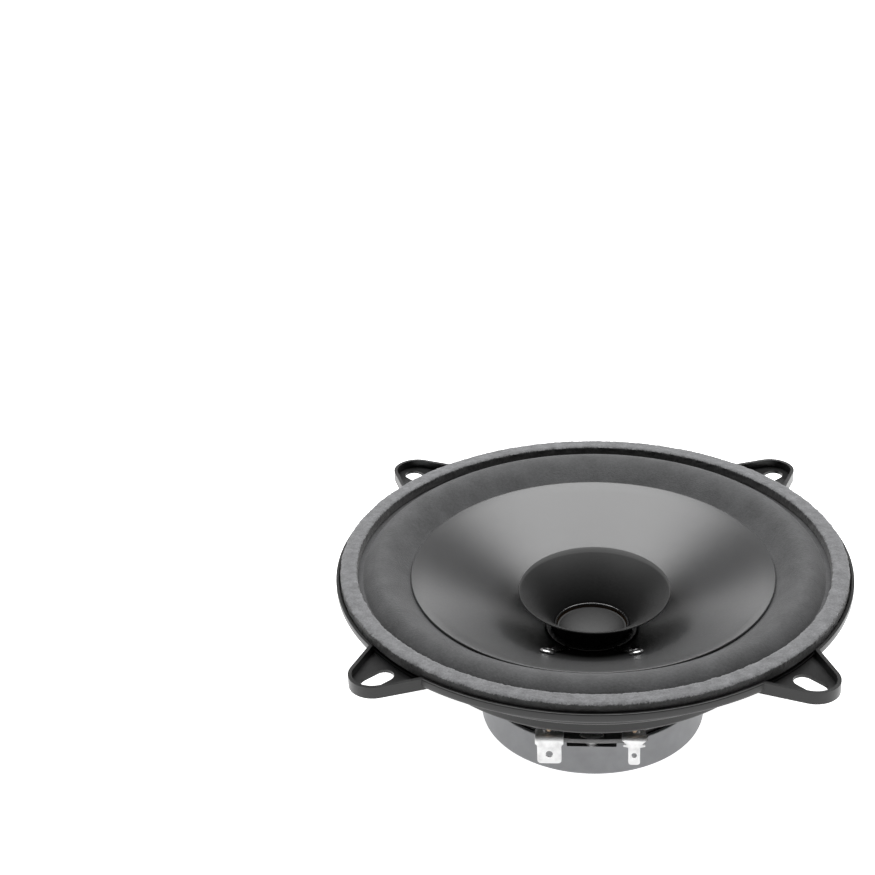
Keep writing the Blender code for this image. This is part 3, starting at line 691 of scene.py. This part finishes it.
def make_basket(paint):
    path = [(FLOOR_BORE, FLOOR_TOP), (FLOOR_EDGE, FLOOR_TOP), (LEDGE[0] - 1.0, LEDGE_TOP - 1.0)]
    path += [(LEDGE[0], LEDGE_TOP), (LEDGE[1], LEDGE_TOP), ARM_FOOT, ARM_HEAD, *SHOULDER]
    path += [(RIM_INNER, LAND_TOP), (RIM_INNER, RIM_TOP)]
    bends = [0.0, 0.8, 0.6, 0.6, 0.4, 0.6, 0.7, 0.8, 0.7, 0.8, 0.12, 0.0]
    outline = soft_sheet(rounded(path, bends, closed=False), SHEET, 0.3)
    basket = turned("basket_shell", outline, paint, FINE)
    blocks, hollows, openings = [], [], []
    for direction in DIAGONALS:
        block = extruded("ear block", ear_outline(0.0, 4.0), EAR_FLOOR[0], RIM_TOP)
        blocks.append(place(outside_ring(block, RING_RADIUS - 0.4), (0, 0, 0), turn_z=direction))
        hollow = extruded("ear hollow", ear_outline(SHEET, 4.0), EAR_FLOOR[1], RIM_TOP + 1.0)
        hollows.append(place(outside_ring(hollow, RIM_INNER - 0.2), (0, 0, 0), turn_z=direction))
        slot_tool = extruded("ear slot", slot_outline(), EAR_FLOOR[0] - 2.0, RIM_TOP + 2.0)
        openings.append(place(slot_tool, (0, 0, 0), turn_z=direction))
        hole = round_cutter("floor hole", PLATE_RIVET_HOLE, -2.0, 2.0)
        openings.append(place(hole, polar(PLATE_RIVET_CIRCLE, direction, FLOOR_TOP)))
    for direction, half_angle in WINDOW_HALF_ANGLES.items():
        window = extruded("window", window_outline(half_angle), *WINDOW_CUT)
        openings.append(place(window, (0, 0, 0), turn_z=direction))
    tongue = extruded("tongue", tongue_outline(), -SHEET, 0.0)
    blocks.append(place(tongue, terminal_point(0.0, FLOOR_EDGE), tilt_x=-TERMINAL_TILT))
    hole = round_cutter("tongue hole", BOARD_RIVET_HOLE, -3.0, 3.0, 32)
    openings.append(place(hole, terminal_point(0.0, BOARD_RIVET_DISTANCE), tilt_x=-TERMINAL_TILT))
    combine(basket, blocks, "UNION")
    combine(basket, hollows, "DIFFERENCE")
    combine(basket, openings, "DIFFERENCE")
    soften(basket, 0.16, 2, 50.0)
    finish_piece(basket, FIXED, "frame_paint", "basket")


def tongue_outline():
    """The terminal tongue, drawn from the floor's edge outwards, with rounded outer corners."""
    outer, inner = FLOOR_EDGE - TONGUE_END, FLOOR_EDGE - TONGUE_START
    side = TONGUE_HALF_WIDTH
    corners = ((-side, outer), (side, outer), (side, inner), (-side, inner))
    return rounded(corners, [1.6, 1.6, 0.0, 0.0], steps=6)


def make_gasket(felt):
    """Cut felt: the edges wander, the face is uneven and fibres break the outline."""
    def uneven(r, angle, z):
        middle = (GASKET_INNER + GASKET_OUTER) / 2
        side = (r - middle) / (GASKET_OUTER - middle)
        lift = max(0.0, (z - GASKET_BOTTOM) / (GASKET_TOP - GASKET_BOTTOM))
        jag = 0.16 * wander(angle, r, 0.45, 1.0 + z) + 0.16 * wander(angle, r, 1.7, 5.0 + z * 2)
        jag += 0.12 * wander(angle, r, 4.0, 9.0 + z * 3)
        r_shift = side * (jag * (0.35 + 0.9 * lift) - 0.12 * lift)
        face = lift * (0.1 * wander(angle, r, 0.9, 20.0 + r) + 0.07 * wander(angle, r, 3.0, 30.0 + r))
        return r + r_shift, z + face - 0.14 * lift

    outline = [(GASKET_INNER, GASKET_BOTTOM), (GASKET_OUTER, GASKET_BOTTOM)]
    levels = 6
    wall = GASKET_TOP - GASKET_EDGE - GASKET_BOTTOM
    for index in range(levels):
        outline.append((GASKET_OUTER, GASKET_BOTTOM + wall * (index + 1) / levels))
    rows = 12
    for index in range(rows + 1):
        t = index / rows
        edge = GASKET_EDGE * (abs(2 * t - 1) ** 10)
        across = GASKET_OUTER - 0.15 + t * (GASKET_INNER - GASKET_OUTER + 0.3)
        outline.append((across, GASKET_TOP - edge * 0.7))
    for index in range(levels):
        outline.append((GASKET_INNER, GASKET_TOP - GASKET_EDGE - wall * index / levels))
    gasket = turned("felt_gasket", outline, felt, 1100, uneven, sharp=60.0)
    finish_piece(gasket, FIXED, "gasket_felt", "gasket_ring")


# ---------------------------------------------------------------- motor

def make_motor(materials):
    cover = rounded(
        (
            (COVER_RADIUS, 0.0), (COVER_RADIUS, COVER_HEIGHT), (COVER_RADIUS - COVER_WALL, COVER_HEIGHT),
            (COVER_RADIUS - COVER_WALL, COVER_WALL), (0.0, COVER_WALL), (0.0, 0.0),
        ),
        [0.9, 0.35, 0.3, 0.4, 0.0, 0.0],
        steps=6,
    )
    finish_piece(turned("cover_cup", cover, materials["cover"], FINE), FIXED, "magnet_cover", "magnet_cover")
    magnet = node_ring("ring_magnet", MAGNET_BORE, 0.5)
    finish_piece(turned("ferrite_ring", magnet, materials["ferrite"]), FIXED, "ferrite", "ring_magnet")
    plate = node_ring("top_plate", PLATE_BORE, 0.3)
    holes = []
    for direction in DIAGONALS:
        hole = round_cutter("plate hole", PLATE_RIVET_HOLE, -2.4, 2.4)
        holes.append(place(hole, polar(PLATE_RIVET_CIRCLE, direction, high("top_plate", 2))))
    top_plate = combine(turned("front_plate", plate, materials["steel"]), holes, "DIFFERENCE")
    finish_piece(top_plate, FIXED, "motor_steel", "top_plate")
    yoke_low, yoke_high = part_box("yoke_with_pole")
    yoke_radius = yoke_high.x / MM
    pole = rounded(
        (
            (yoke_radius, yoke_low.z / MM), (yoke_radius, yoke_low.z / MM + YOKE_BASE),
            (POLE_RADIUS, yoke_low.z / MM + YOKE_BASE), (POLE_RADIUS, yoke_high.z / MM),
            (0.0, yoke_high.z / MM), (0.0, yoke_low.z / MM),
        ),
        [0.5, 0.5, 0.3, 0.7, 0.0, 0.0],
    )
    finish_piece(turned("pole_yoke", pole, materials["steel"]), FIXED, "motor_steel", "yoke_with_pole")


# ---------------------------------------------------------------- terminals

def tilted(piece, x=0.0, distance=FLOOR_EDGE):
    return place(piece, terminal_point(x, distance), tilt_x=-TERMINAL_TILT)


def rivet_outline(head, shank, tail_seat, head_seat, height, dimple=0.0):
    """A rivet with a rounded head above, which may have a dimple, and an upset tail below."""
    tail = shank + 0.45 * (head - shank)
    outline = [(0.0, tail_seat - 0.5 * height), (tail * 0.8, tail_seat - 0.5 * height), (tail, tail_seat)]
    outline += [(shank, tail_seat), (shank, head_seat), (head, head_seat)]
    for index in range(9):
        angle = radians(10.0 + index * 10.0)
        outline.append((head * cos(angle) ** 0.8, head_seat + height * sin(angle) ** 0.9))
    if dimple:
        rim = [point for point in outline if point[0] > dimple or point[1] < head_seat]
        edge = rim[-1][1]
        outline = rim + [(dimple, edge), (dimple * 0.75, edge - 0.25 * height), (0.0, edge - 0.35 * height)]
    else:
        outline.append((0.0, head_seat + height))
    return outline


def make_board(fibre):
    inner = FLOOR_EDGE - BOARD_INNER
    edge_angle = degrees(asin(BOARD_HALF_WIDTH / BOARD_RADIUS))
    outline = [(BOARD_HALF_WIDTH, inner), (-BOARD_HALF_WIDTH, inner)]
    steps = 24
    for index in range(steps + 1):
        x, y, _ = polar(BOARD_RADIUS, -90.0 - edge_angle + 2 * edge_angle * index / steps)
        outline.append((x, y + FLOOR_EDGE))
    top = FIT_GAP + BOARD_THICKNESS
    board = tilted(extruded("fibre_board", rounded(outline, 0.8), FIT_GAP, top, fibre))
    holes = []
    for x, size in ((0.0, BOARD_RIVET_HOLE), (-TAB_DISTANCE, TAB_RIVET_HOLE), (TAB_DISTANCE, TAB_RIVET_HOLE)):
        hole = round_cutter("board hole", size, -5.0, 4.0)
        holes.append(tilted(hole, x, BOARD_RIVET_DISTANCE))
    combine(board, holes, "DIFFERENCE")
    soften(board, 0.12, 2)
    finish_piece(board, FIXED, "terminal_board", "terminal_board")


def tab_outline(shoulder, blade, top, wings):
    """Half outline of a tab in (x, z), mirrored into a whole one."""
    end = top - TAB_LENGTH * cos(radians(TERMINAL_TILT))
    half = [(shoulder / 2, top + 1.0)]
    if wings:
        half += [(shoulder / 2, top - 0.9), (blade / 2 + 0.35, top - 2.0), (blade / 2 + 1.25, top - 2.1)]
        half += [(blade / 2 + 1.2, top - 2.5), (blade / 2, top - 2.8)]
    else:
        half += [(shoulder / 2, top - 2.2), (blade / 2 + 0.1, top - 2.5), (blade / 2, top - 3.0)]
    corner = 0.8 if wings else 1.0
    half += curve_points((blade / 2, end + corner), (blade / 2, end), (blade / 2 - corner, end), 6)
    return half + [(-x, z) for x, z in half[::-1]]


def make_tab(name, x, shoulder, blade, wings, tinplate):
    """A bent strip, trimmed to the tab's outline and drilled."""
    foot_bottom = FIT_GAP + BOARD_THICKNESS + 0.1
    foot_top = foot_bottom + TAB_THICKNESS
    front = FLOOR_EDGE - TAB_FRONT - TAB_THICKNESS
    height = TAB_LENGTH * cos(radians(TERMINAL_TILT))
    lean = TAB_LENGTH * sin(radians(TERMINAL_TILT))
    path = [(FLOOR_EDGE - TAB_FOOT_INNER, foot_top), (front, foot_top), (front + lean, foot_top - height)]
    strip_outline = sheet_outline(rounded(path, TAB_BEND, closed=False, steps=6)[::-1], TAB_THICKNESS)
    strip = extruded(f"{name}_blade", strip_outline, -4.5, 4.5, tinplate, axis="x")
    trim_outline = tab_outline(shoulder, blade, foot_top, wings)
    trim = extruded("trim", trim_outline, front - 2.0, front + 12.0, axis="y")
    combine(strip, [trim], "INTERSECT")
    hole_height = foot_top - height + BLADE_HOLE_HEIGHT
    hole_radius = 0.65 if wings else 0.85
    angles = [k * pi / 12 for k in range(24)]
    ring = [(hole_radius * cos(angle), hole_height + hole_radius * sin(angle)) for angle in angles]
    tools = [extruded("blade hole", ring, front - 1.5, front + 4.0, axis="y")]
    foot_hole = round_cutter("foot hole", TAB_RIVET_HOLE, -3.0, 4.0)
    tools.append(place(foot_hole, (0.0, FLOOR_EDGE - BOARD_RIVET_DISTANCE, 0.0)))
    combine(strip, tools, "DIFFERENCE")
    soften(strip, 0.09, 2)
    tilted(strip, x)
    finish_piece(strip, FIXED, "tin_plate", f"{name}_tab")
    rivet_shape = rivet_outline(*TAB_RIVET, 0.0, foot_top + 0.05, 0.5)
    rivet = turned(f"{name}_foot_rivet", rivet_shape, tinplate, SMALL)
    finish_piece(tilted(rivet, x, BOARD_RIVET_DISTANCE), FIXED, "tin_plate", f"{name}_tab_rivet")


def make_terminals(fibre, tinplate):
    make_board(fibre)
    outline = rivet_outline(*BOARD_RIVET, -SHEET + 0.1, FIT_GAP + BOARD_THICKNESS + 0.05, 0.4, dimple=1.3)
    rivet = turned("centre_rivet", outline, tinplate, 64)
    finish_piece(tilted(rivet, 0.0, BOARD_RIVET_DISTANCE), FIXED, "tin_plate", "board_rivet")
    make_tab("positive", -TAB_DISTANCE, *POSITIVE_TAB, False, tinplate)
    make_tab("negative", TAB_DISTANCE, *NEGATIVE_TAB, True, tinplate)


def smooth_route(points, per_span):
    """Points of a Catmull-Rom curve through every given point."""
    ends = [2 * points[0] - points[1], *points, 2 * points[-1] - points[-2]]
    route = []
    for a, b, c, d in zip(ends, ends[1:], ends[2:], ends[3:]):
        for index in range(per_span):
            t = index / per_span
            route.append(0.5 * (
                2 * b + (c - a) * t + (2 * a - 5 * b + 4 * c - d) * t ** 2
                + (3 * b - a - 3 * c + d) * t ** 3
            ))
    route.append(points[-1])
    return route


LEAD_POINTS = (
    (11.0, -21.8, 28.8),
    (11.1, -25.0, 27.0),
    (11.2, -30.5, 26.4),
    (11.2, -36.0, 27.2),
    (11.1, -40.2, 26.4),
    (10.7, -41.2, 24.4),
    (10.3, -40.9, 22.9),
    (10.1, -40.4, 22.2),
)


def make_lead(name, side, braid):
    """Braided lead: a tube whose skin is raised in two crossing spirals."""
    route = smooth_route([Vector((side * x, y, z)) for x, y, z in LEAD_POINTS], 14)
    sides, radius = 16, 0.5
    mesh_data = bmesh.new()
    rings = []
    up = Vector((0.0, 0.0, 1.0))
    for index, centre in enumerate(route):
        ahead = route[min(index + 1, len(route) - 1)] - route[max(index - 1, 0)]
        across = ahead.cross(up).normalized()
        up = across.cross(ahead).normalized()
        ring = []
        for step in range(sides):
            angle = 2 * pi * step / sides
            braid_lift = abs(sin(2 * angle + index * 0.9)) + abs(sin(2 * angle - index * 0.9))
            reach = radius * (0.9 + 0.08 * braid_lift)
            ring.append(mesh_data.verts.new(centre + (across * cos(angle) + up * sin(angle)) * reach))
        rings.append(ring)
    for first, second in zip(rings, rings[1:]):
        for step in range(sides):
            after = (step + 1) % sides
            mesh_data.faces.new((first[step], first[after], second[after], second[step]))
    mesh_data.faces.new(rings[0][::-1])
    mesh_data.faces.new(rings[-1])
    lead = add_object(name.replace("_lead", "_tinsel"), mesh_data, braid)
    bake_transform(lead)
    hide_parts(name)


# ---------------------------------------------------------------- cone and suspension


def make_surround(foam):
    """Half roll between a lip under the cone's rim and a flat lip on the frame's land."""
    under_cone = CONE_THICKNESS * hypot(1.0, CONE_SLOPE) + FIT_GAP
    path = [(SURROUND_LIP_INNER, cone_top(SURROUND_LIP_INNER) - under_cone)]
    roll_start = cone_top(ROLL_INNER) - under_cone
    steps = 32
    for index in range(steps + 1):
        t = index / steps
        base = roll_start + t * (LIP_TOP - roll_start)
        lift = ROLL_RISE * sin(pi * t ** 1.25) ** 0.8
        path.append((ROLL_INNER + t * (ROLL_OUTER - ROLL_INNER), base + lift))
    path += [(GASKET_INNER, LIP_TOP), (LIP_OUTER, LIP_TOP)]
    surround = turned("roll_surround", soft_sheet(path, 0.4, 0.12), foam, FINE)
    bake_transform(surround)
    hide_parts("surround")


def make_spider(cloth):
    inner, outer, waves = 12.0, 34.2, 5
    path = [(CONE_INNER, SPIDER_TOP)]
    steps = 12 * waves
    for index in range(steps + 1):
        t = index / steps
        path.append((inner + t * (outer - inner), SPIDER_TOP + 0.7 * sin(2 * pi * waves * t)))
    path.append((high("spider", 0), SPIDER_TOP))
    spider = turned("corrugated_spider", soft_sheet(path, 0.4, 0.1), cloth, MEDIUM)
    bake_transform(spider)
    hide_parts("spider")


def eyelet_directions():
    return (("positive", -90.0 - EYELET_ANGLE), ("negative", -90.0 + EYELET_ANGLE))


def on_cone(piece, radius, direction):
    """Lay a piece's XY plane on the cone, with its X axis pointing up the slope."""
    slope = degrees(asin(CONE_SLOPE / hypot(1.0, CONE_SLOPE)))
    return place(piece, polar(radius, direction, cone_top(radius)), tilt_y=-slope, turn_z=direction)


def make_cone(pulp):
    path = [(CONE_INNER, CONE_NECK_TOP)]
    rows = 12
    for index in range(1, rows + 1):
        radius = CONE_INNER + (CONE_OUTER - CONE_INNER) * index / rows
        path.append((radius, cone_top(radius)))
    cone = turned("pulp_cone", soft_sheet(path, CONE_THICKNESS, 0.2), pulp, FINE)
    holes = []
    for _, direction in eyelet_directions():
        hole = round_cutter("eyelet hole", EYELET_HOLE, -3.0, 3.0)
        holes.append(on_cone(hole, EYELET_CIRCLE, direction))
    combine(cone, holes, "DIFFERENCE")
    finish_piece(cone, MOVING, "cone", "cone")


def make_whizzer(black_paper):
    path = [(THROAT[0], 24.3), (THROAT[0], 25.2)] + curve_points(THROAT, WHIZZER_PULL, WHIZZER_RIM, 20)
    whizzer = turned("whizzer_flare", soft_sheet(path, 0.4, 0.15), black_paper, 224)
    for vertex in whizzer.data.vertices:
        share = max(0.0, (vertex.co.z / MM - THROAT[1]) / (WHIZZER_RIM[1] - THROAT[1]))
        vertex.co.x += WHIZZER_SHIFT * MM * share
        vertex.co.z += vertex.co.y * WHIZZER_LEAN * share
    finish_piece(whizzer, MOVING, "black_paper", "whizzer_cone")


def make_dust_cap(cloth):
    """A shallow dome with a rolled rim, seated in the throat."""
    rim = CAP_RADIUS - 0.5
    shoulder = 25.2
    sweep = 0.4 * pi
    path = []
    steps = 18
    for index in range(steps + 1):
        angle = sweep * index / steps
        rise = (cos(angle) - cos(sweep)) / (1.0 - cos(sweep))
        path.append((rim * sin(angle) / sin(sweep), shoulder + rise * (CAP_TOP - shoulder)))
    path += [(CAP_RADIUS - 0.15, shoulder + 0.1), (CAP_RADIUS, shoulder - 0.3)]
    path.append((CAP_RADIUS, low("dust_cap", 2)))
    cap = turned("cloth_dome", soft_sheet(path, 0.4, 0.1), cloth, 128)
    finish_piece(cap, MOVING, "dust_cap", "dust_cap")


def make_coil(materials):
    for name, node, bore, edge, material, slot in (
        ("coil_former", "voice_coil_former", FORMER_BORE, 0.05, "former", "coil_former"),
        ("copper_coil", "voice_coil_winding", WINDING_BORE, 0.1, "copper", "copper_winding"),
    ):
        piece = turned(name, node_ring(node, bore, edge), materials[material])
        finish_piece(piece, MOVING, slot, node)


def make_neck_glue(glue):
    """A lumpy bead round the neck, and a thinner one on top of the coil former."""
    def lumpy(r, angle, z):
        swell = 0.22 * wander(angle, r, 0.35, 3.0) + 0.1 * wander(angle, r, 1.1, 7.0)
        return r + swell * max(0.0, (r - 10.6) / 1.4), z + 0.5 * swell

    foot, edge = cone_top(10.5) + 0.35, cone_top(12.0) + 0.35
    bead = rounded(((10.5, foot), (12.0, edge), (11.2, edge + 0.5), (10.5, 26.0)), 0.3)
    neck = turned("neck_bead", bead, glue, MEDIUM, lumpy)
    throat = [(9.38 + 0.3 * cos(k * pi / 6), 26.0 + 0.3 * sin(k * pi / 6)) for k in range(12)]
    ring = turned("throat bead", throat, glue, MEDIUM)
    combine(neck, [ring], "UNION")
    finish_piece(neck, MOVING, "black_glue", "neck_glue")


def make_lead_outs(eyelet_metal, glue):
    under = -CONE_THICKNESS - FIT_GAP
    eyelet = [(0.0, under - 0.5), (1.5, under - 0.5), (1.5, under), (0.8, under), (0.8, 0.3), (1.9, 0.3)]
    eyelet += curve_points((1.9, 0.5), (1.7, 0.95), (1.0, 1.0), 6) + [(0.7, 0.8), (0.0, 0.6)]
    for name, direction in eyelet_directions():
        head = turned(f"{name}_eyelet", eyelet, eyelet_metal, 48)
        finish_piece(on_cone(head, EYELET_CIRCLE, direction), MOVING, "eyelet", f"{name}_lead_eyelet")
        run = make_glue_run(f"{name}_glue_run", glue, *GLUE_RUN)
        finish_piece(on_cone(run, GLUE_RUN[0], direction), MOVING, "black_glue", f"{name}_lead_glue")


def make_glue_run(name, glue, start_radius, end_radius):
    """An uneven rounded ridge that lies along X over the lead."""
    length = (end_radius - start_radius) * hypot(1.0, CONE_SLOPE)
    mesh_data = bmesh.new()
    rings = []
    steps, sides = 28, 16
    for index in range(steps + 1):
        t = index / steps
        taper = min(1.0, 0.25 + 5.0 * min(t, 1.0 - t)) ** 0.5
        lump = 1.0 + 0.25 * noise.noise(Vector((t * 5.0, 2.0, len(name))))
        ring = []
        for side in range(sides + 1):
            angle = pi * side / sides
            y = 0.95 * taper * lump * cos(angle)
            z = 0.3 + 0.85 * taper * lump * sin(angle) ** 0.8
            ring.append(mesh_data.verts.new((t * length, y, z)))
        rings.append(ring)
    for first, second in zip(rings, rings[1:]):
        for side in range(sides + 1):
            after = (side + 1) % (sides + 1)
            mesh_data.faces.new((first[side], first[after], second[after], second[side]))
    mesh_data.faces.new(rings[0])
    mesh_data.faces.new(rings[-1][::-1])
    return add_object(name, mesh_data, glue, sharp=70.0)


# ---------------------------------------------------------------- stage

CAMERA_AZIMUTH = 0.2
CAMERA_ELEVATION = 30.95
CAMERA_DISTANCE = 419.5
CAMERA_LENS = 67.6
CAMERA_TURN = 5.35  # to the left of the gasket's centre
CAMERA_LIFT = 4.03  # above it
CAMERA_ROLL = 0.15
LIGHT_TARGET = (0.0, 0.0, 0.03)


def make_camera():
    """A camera aimed left of and above the speaker, so that the speaker sits low on the right."""
    data = bpy.data.cameras.new("camera")
    data.lens = CAMERA_LENS
    data.sensor_width = 36.0
    data.clip_start = 0.01
    camera = bpy.data.objects.new("camera", data)
    bpy.context.scene.collection.objects.link(camera)
    azimuth, elevation = radians(CAMERA_AZIMUTH), radians(CAMERA_ELEVATION)
    back = Vector((sin(azimuth) * cos(elevation), -cos(azimuth) * cos(elevation), sin(elevation)))
    forward = -back
    right = forward.cross(Vector((0.0, 0.0, 1.0))).normalized()
    up = right.cross(forward)
    turn, lift, roll = radians(CAMERA_TURN), radians(CAMERA_LIFT), radians(CAMERA_ROLL)
    side = right * cos(turn) + forward * sin(turn)
    ahead = forward * cos(turn) - right * sin(turn)
    aim = ahead * cos(lift) + up * sin(lift)
    top = up * cos(lift) - ahead * sin(lift)
    side, top = side * cos(roll) + top * sin(roll), top * cos(roll) - side * sin(roll)
    camera.matrix_world = Matrix((
        (side.x, top.x, -aim.x, back.x * CAMERA_DISTANCE * MM),
        (side.y, top.y, -aim.y, back.y * CAMERA_DISTANCE * MM),
        (side.z, top.z, -aim.z, back.z * CAMERA_DISTANCE * MM + GASKET_TOP * MM),
        (0.0, 0.0, 0.0, 1.0),
    ))
    bpy.context.scene.camera = camera


def make_floor():
    mesh = bpy.data.meshes.new("floor")
    size = 3.0
    corners = [(-size, -size, 0.0), (size, -size, 0.0), (size, size, 0.0), (-size, size, 0.0)]
    mesh.from_pydata(corners, [], [(0, 1, 2, 3)])
    floor = bpy.data.objects.new("floor", mesh)
    floor.location.z = -0.0001  # just clear of the cover's rear face
    bpy.context.scene.collection.objects.link(floor)
    material = new_material("white_floor", (0.9, 0.9, 0.9), 0.7, Emission_Color=(1.0, 1.0, 1.0, 1.0))
    material.node_tree.nodes["Principled BSDF"].inputs["Emission Strength"].default_value = 0.95
    mesh.materials.append(material)


def make_light(name, size, power, location):
    """A soft rectangular light aimed at the speaker; sizes and places are in metres."""
    data = bpy.data.lights.new(name, "AREA")
    data.shape = "RECTANGLE"
    data.size, data.size_y = size
    data.energy = power
    light = bpy.data.objects.new(name, data)
    light.location = location
    aim = Vector(LIGHT_TARGET) - Vector(location)
    light.rotation_euler = aim.to_track_quat("-Z", "Y").to_euler()
    bpy.context.scene.collection.objects.link(light)


def make_stage():
    make_camera()
    make_floor()
    make_light("overhead softbox", (0.9, 0.5), 10.0, (0.0, 0.17, 0.75))
    make_light("back panel", (2.2, 0.4), 6.0, (0.0, 1.3, 0.38))
    world = bpy.data.worlds.new("studio")
    world.use_nodes = True
    background = world.node_tree.nodes["Background"].inputs
    background["Color"].default_value = (1.0, 1.0, 1.0, 1.0)
    background["Strength"].default_value = 0.12
    bpy.context.scene.world = world
    bpy.context.scene.view_settings.view_transform = "Standard"


# ---------------------------------------------------------------- all of it

def repaint(node, material):
    """Give a CAD node that keeps its own mesh a better material."""
    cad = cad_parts[node]
    for slot_holder in cad.material_slots:
        slot_holder.material = material


def main():
    materials = {
        "paint": paint_material(),
        "felt": felt_material(),
        "foam": foam_material(),
        "pulp": cone_material(),
        "whizzer": black_paper_material(),
        "cap": woven_material("cap_cloth", grey(0.008), grey(0.025), 0.35, 0.06, 0.6),
        "spider": woven_material("spider_cloth", (0.12, 0.07, 0.02), (0.42, 0.27, 0.1), 0.5, 0.1),
        "glue": glue_material(),
        "cover": cover_material(),
        "ferrite": mineral_material("ferrite_black", grey(0.012), grey(0.035), 0.6),
        "fibre": mineral_material("fibre_grey", grey(0.14), grey(0.3), 0.6),
        "steel": metal_material("plated_steel", (0.1, 0.1, 0.11), 0.4),
        "tin": metal_material("tin_plate", (0.95, 0.95, 0.95), 0.4, 0.1, metallic=0.35),
        "eyelet": metal_material("eyelet_nickel", (0.5, 0.5, 0.5), 0.25),
        "former": new_material("former_film", (0.05, 0.03, 0.015), 0.35),
        "copper": wound_material("copper_winding", (0.75, 0.32, 0.16), 0.25, 1.0, 0.35),
        "braid": wound_material("tinsel_braid", (0.55, 0.42, 0.3), 0.45, 0.6, 0.5),
    }
    make_basket(materials["paint"])
    make_gasket(materials["felt"])
    make_motor(materials)
    for number in range(1, 5):
        repaint(f"plate_rivet_{number}", materials["steel"])
    make_terminals(materials["fibre"], materials["tin"])
    make_surround(materials["foam"])
    make_spider(materials["spider"])
    make_cone(materials["pulp"])
    make_whizzer(materials["whizzer"])
    make_dust_cap(materials["cap"])
    make_coil(materials)
    make_neck_glue(materials["glue"])
    make_lead_outs(materials["eyelet"], materials["glue"])
    make_lead("positive_lead", -1.0, materials["braid"])
    make_lead("negative_lead", 1.0, materials["braid"])
    make_stage()


main()
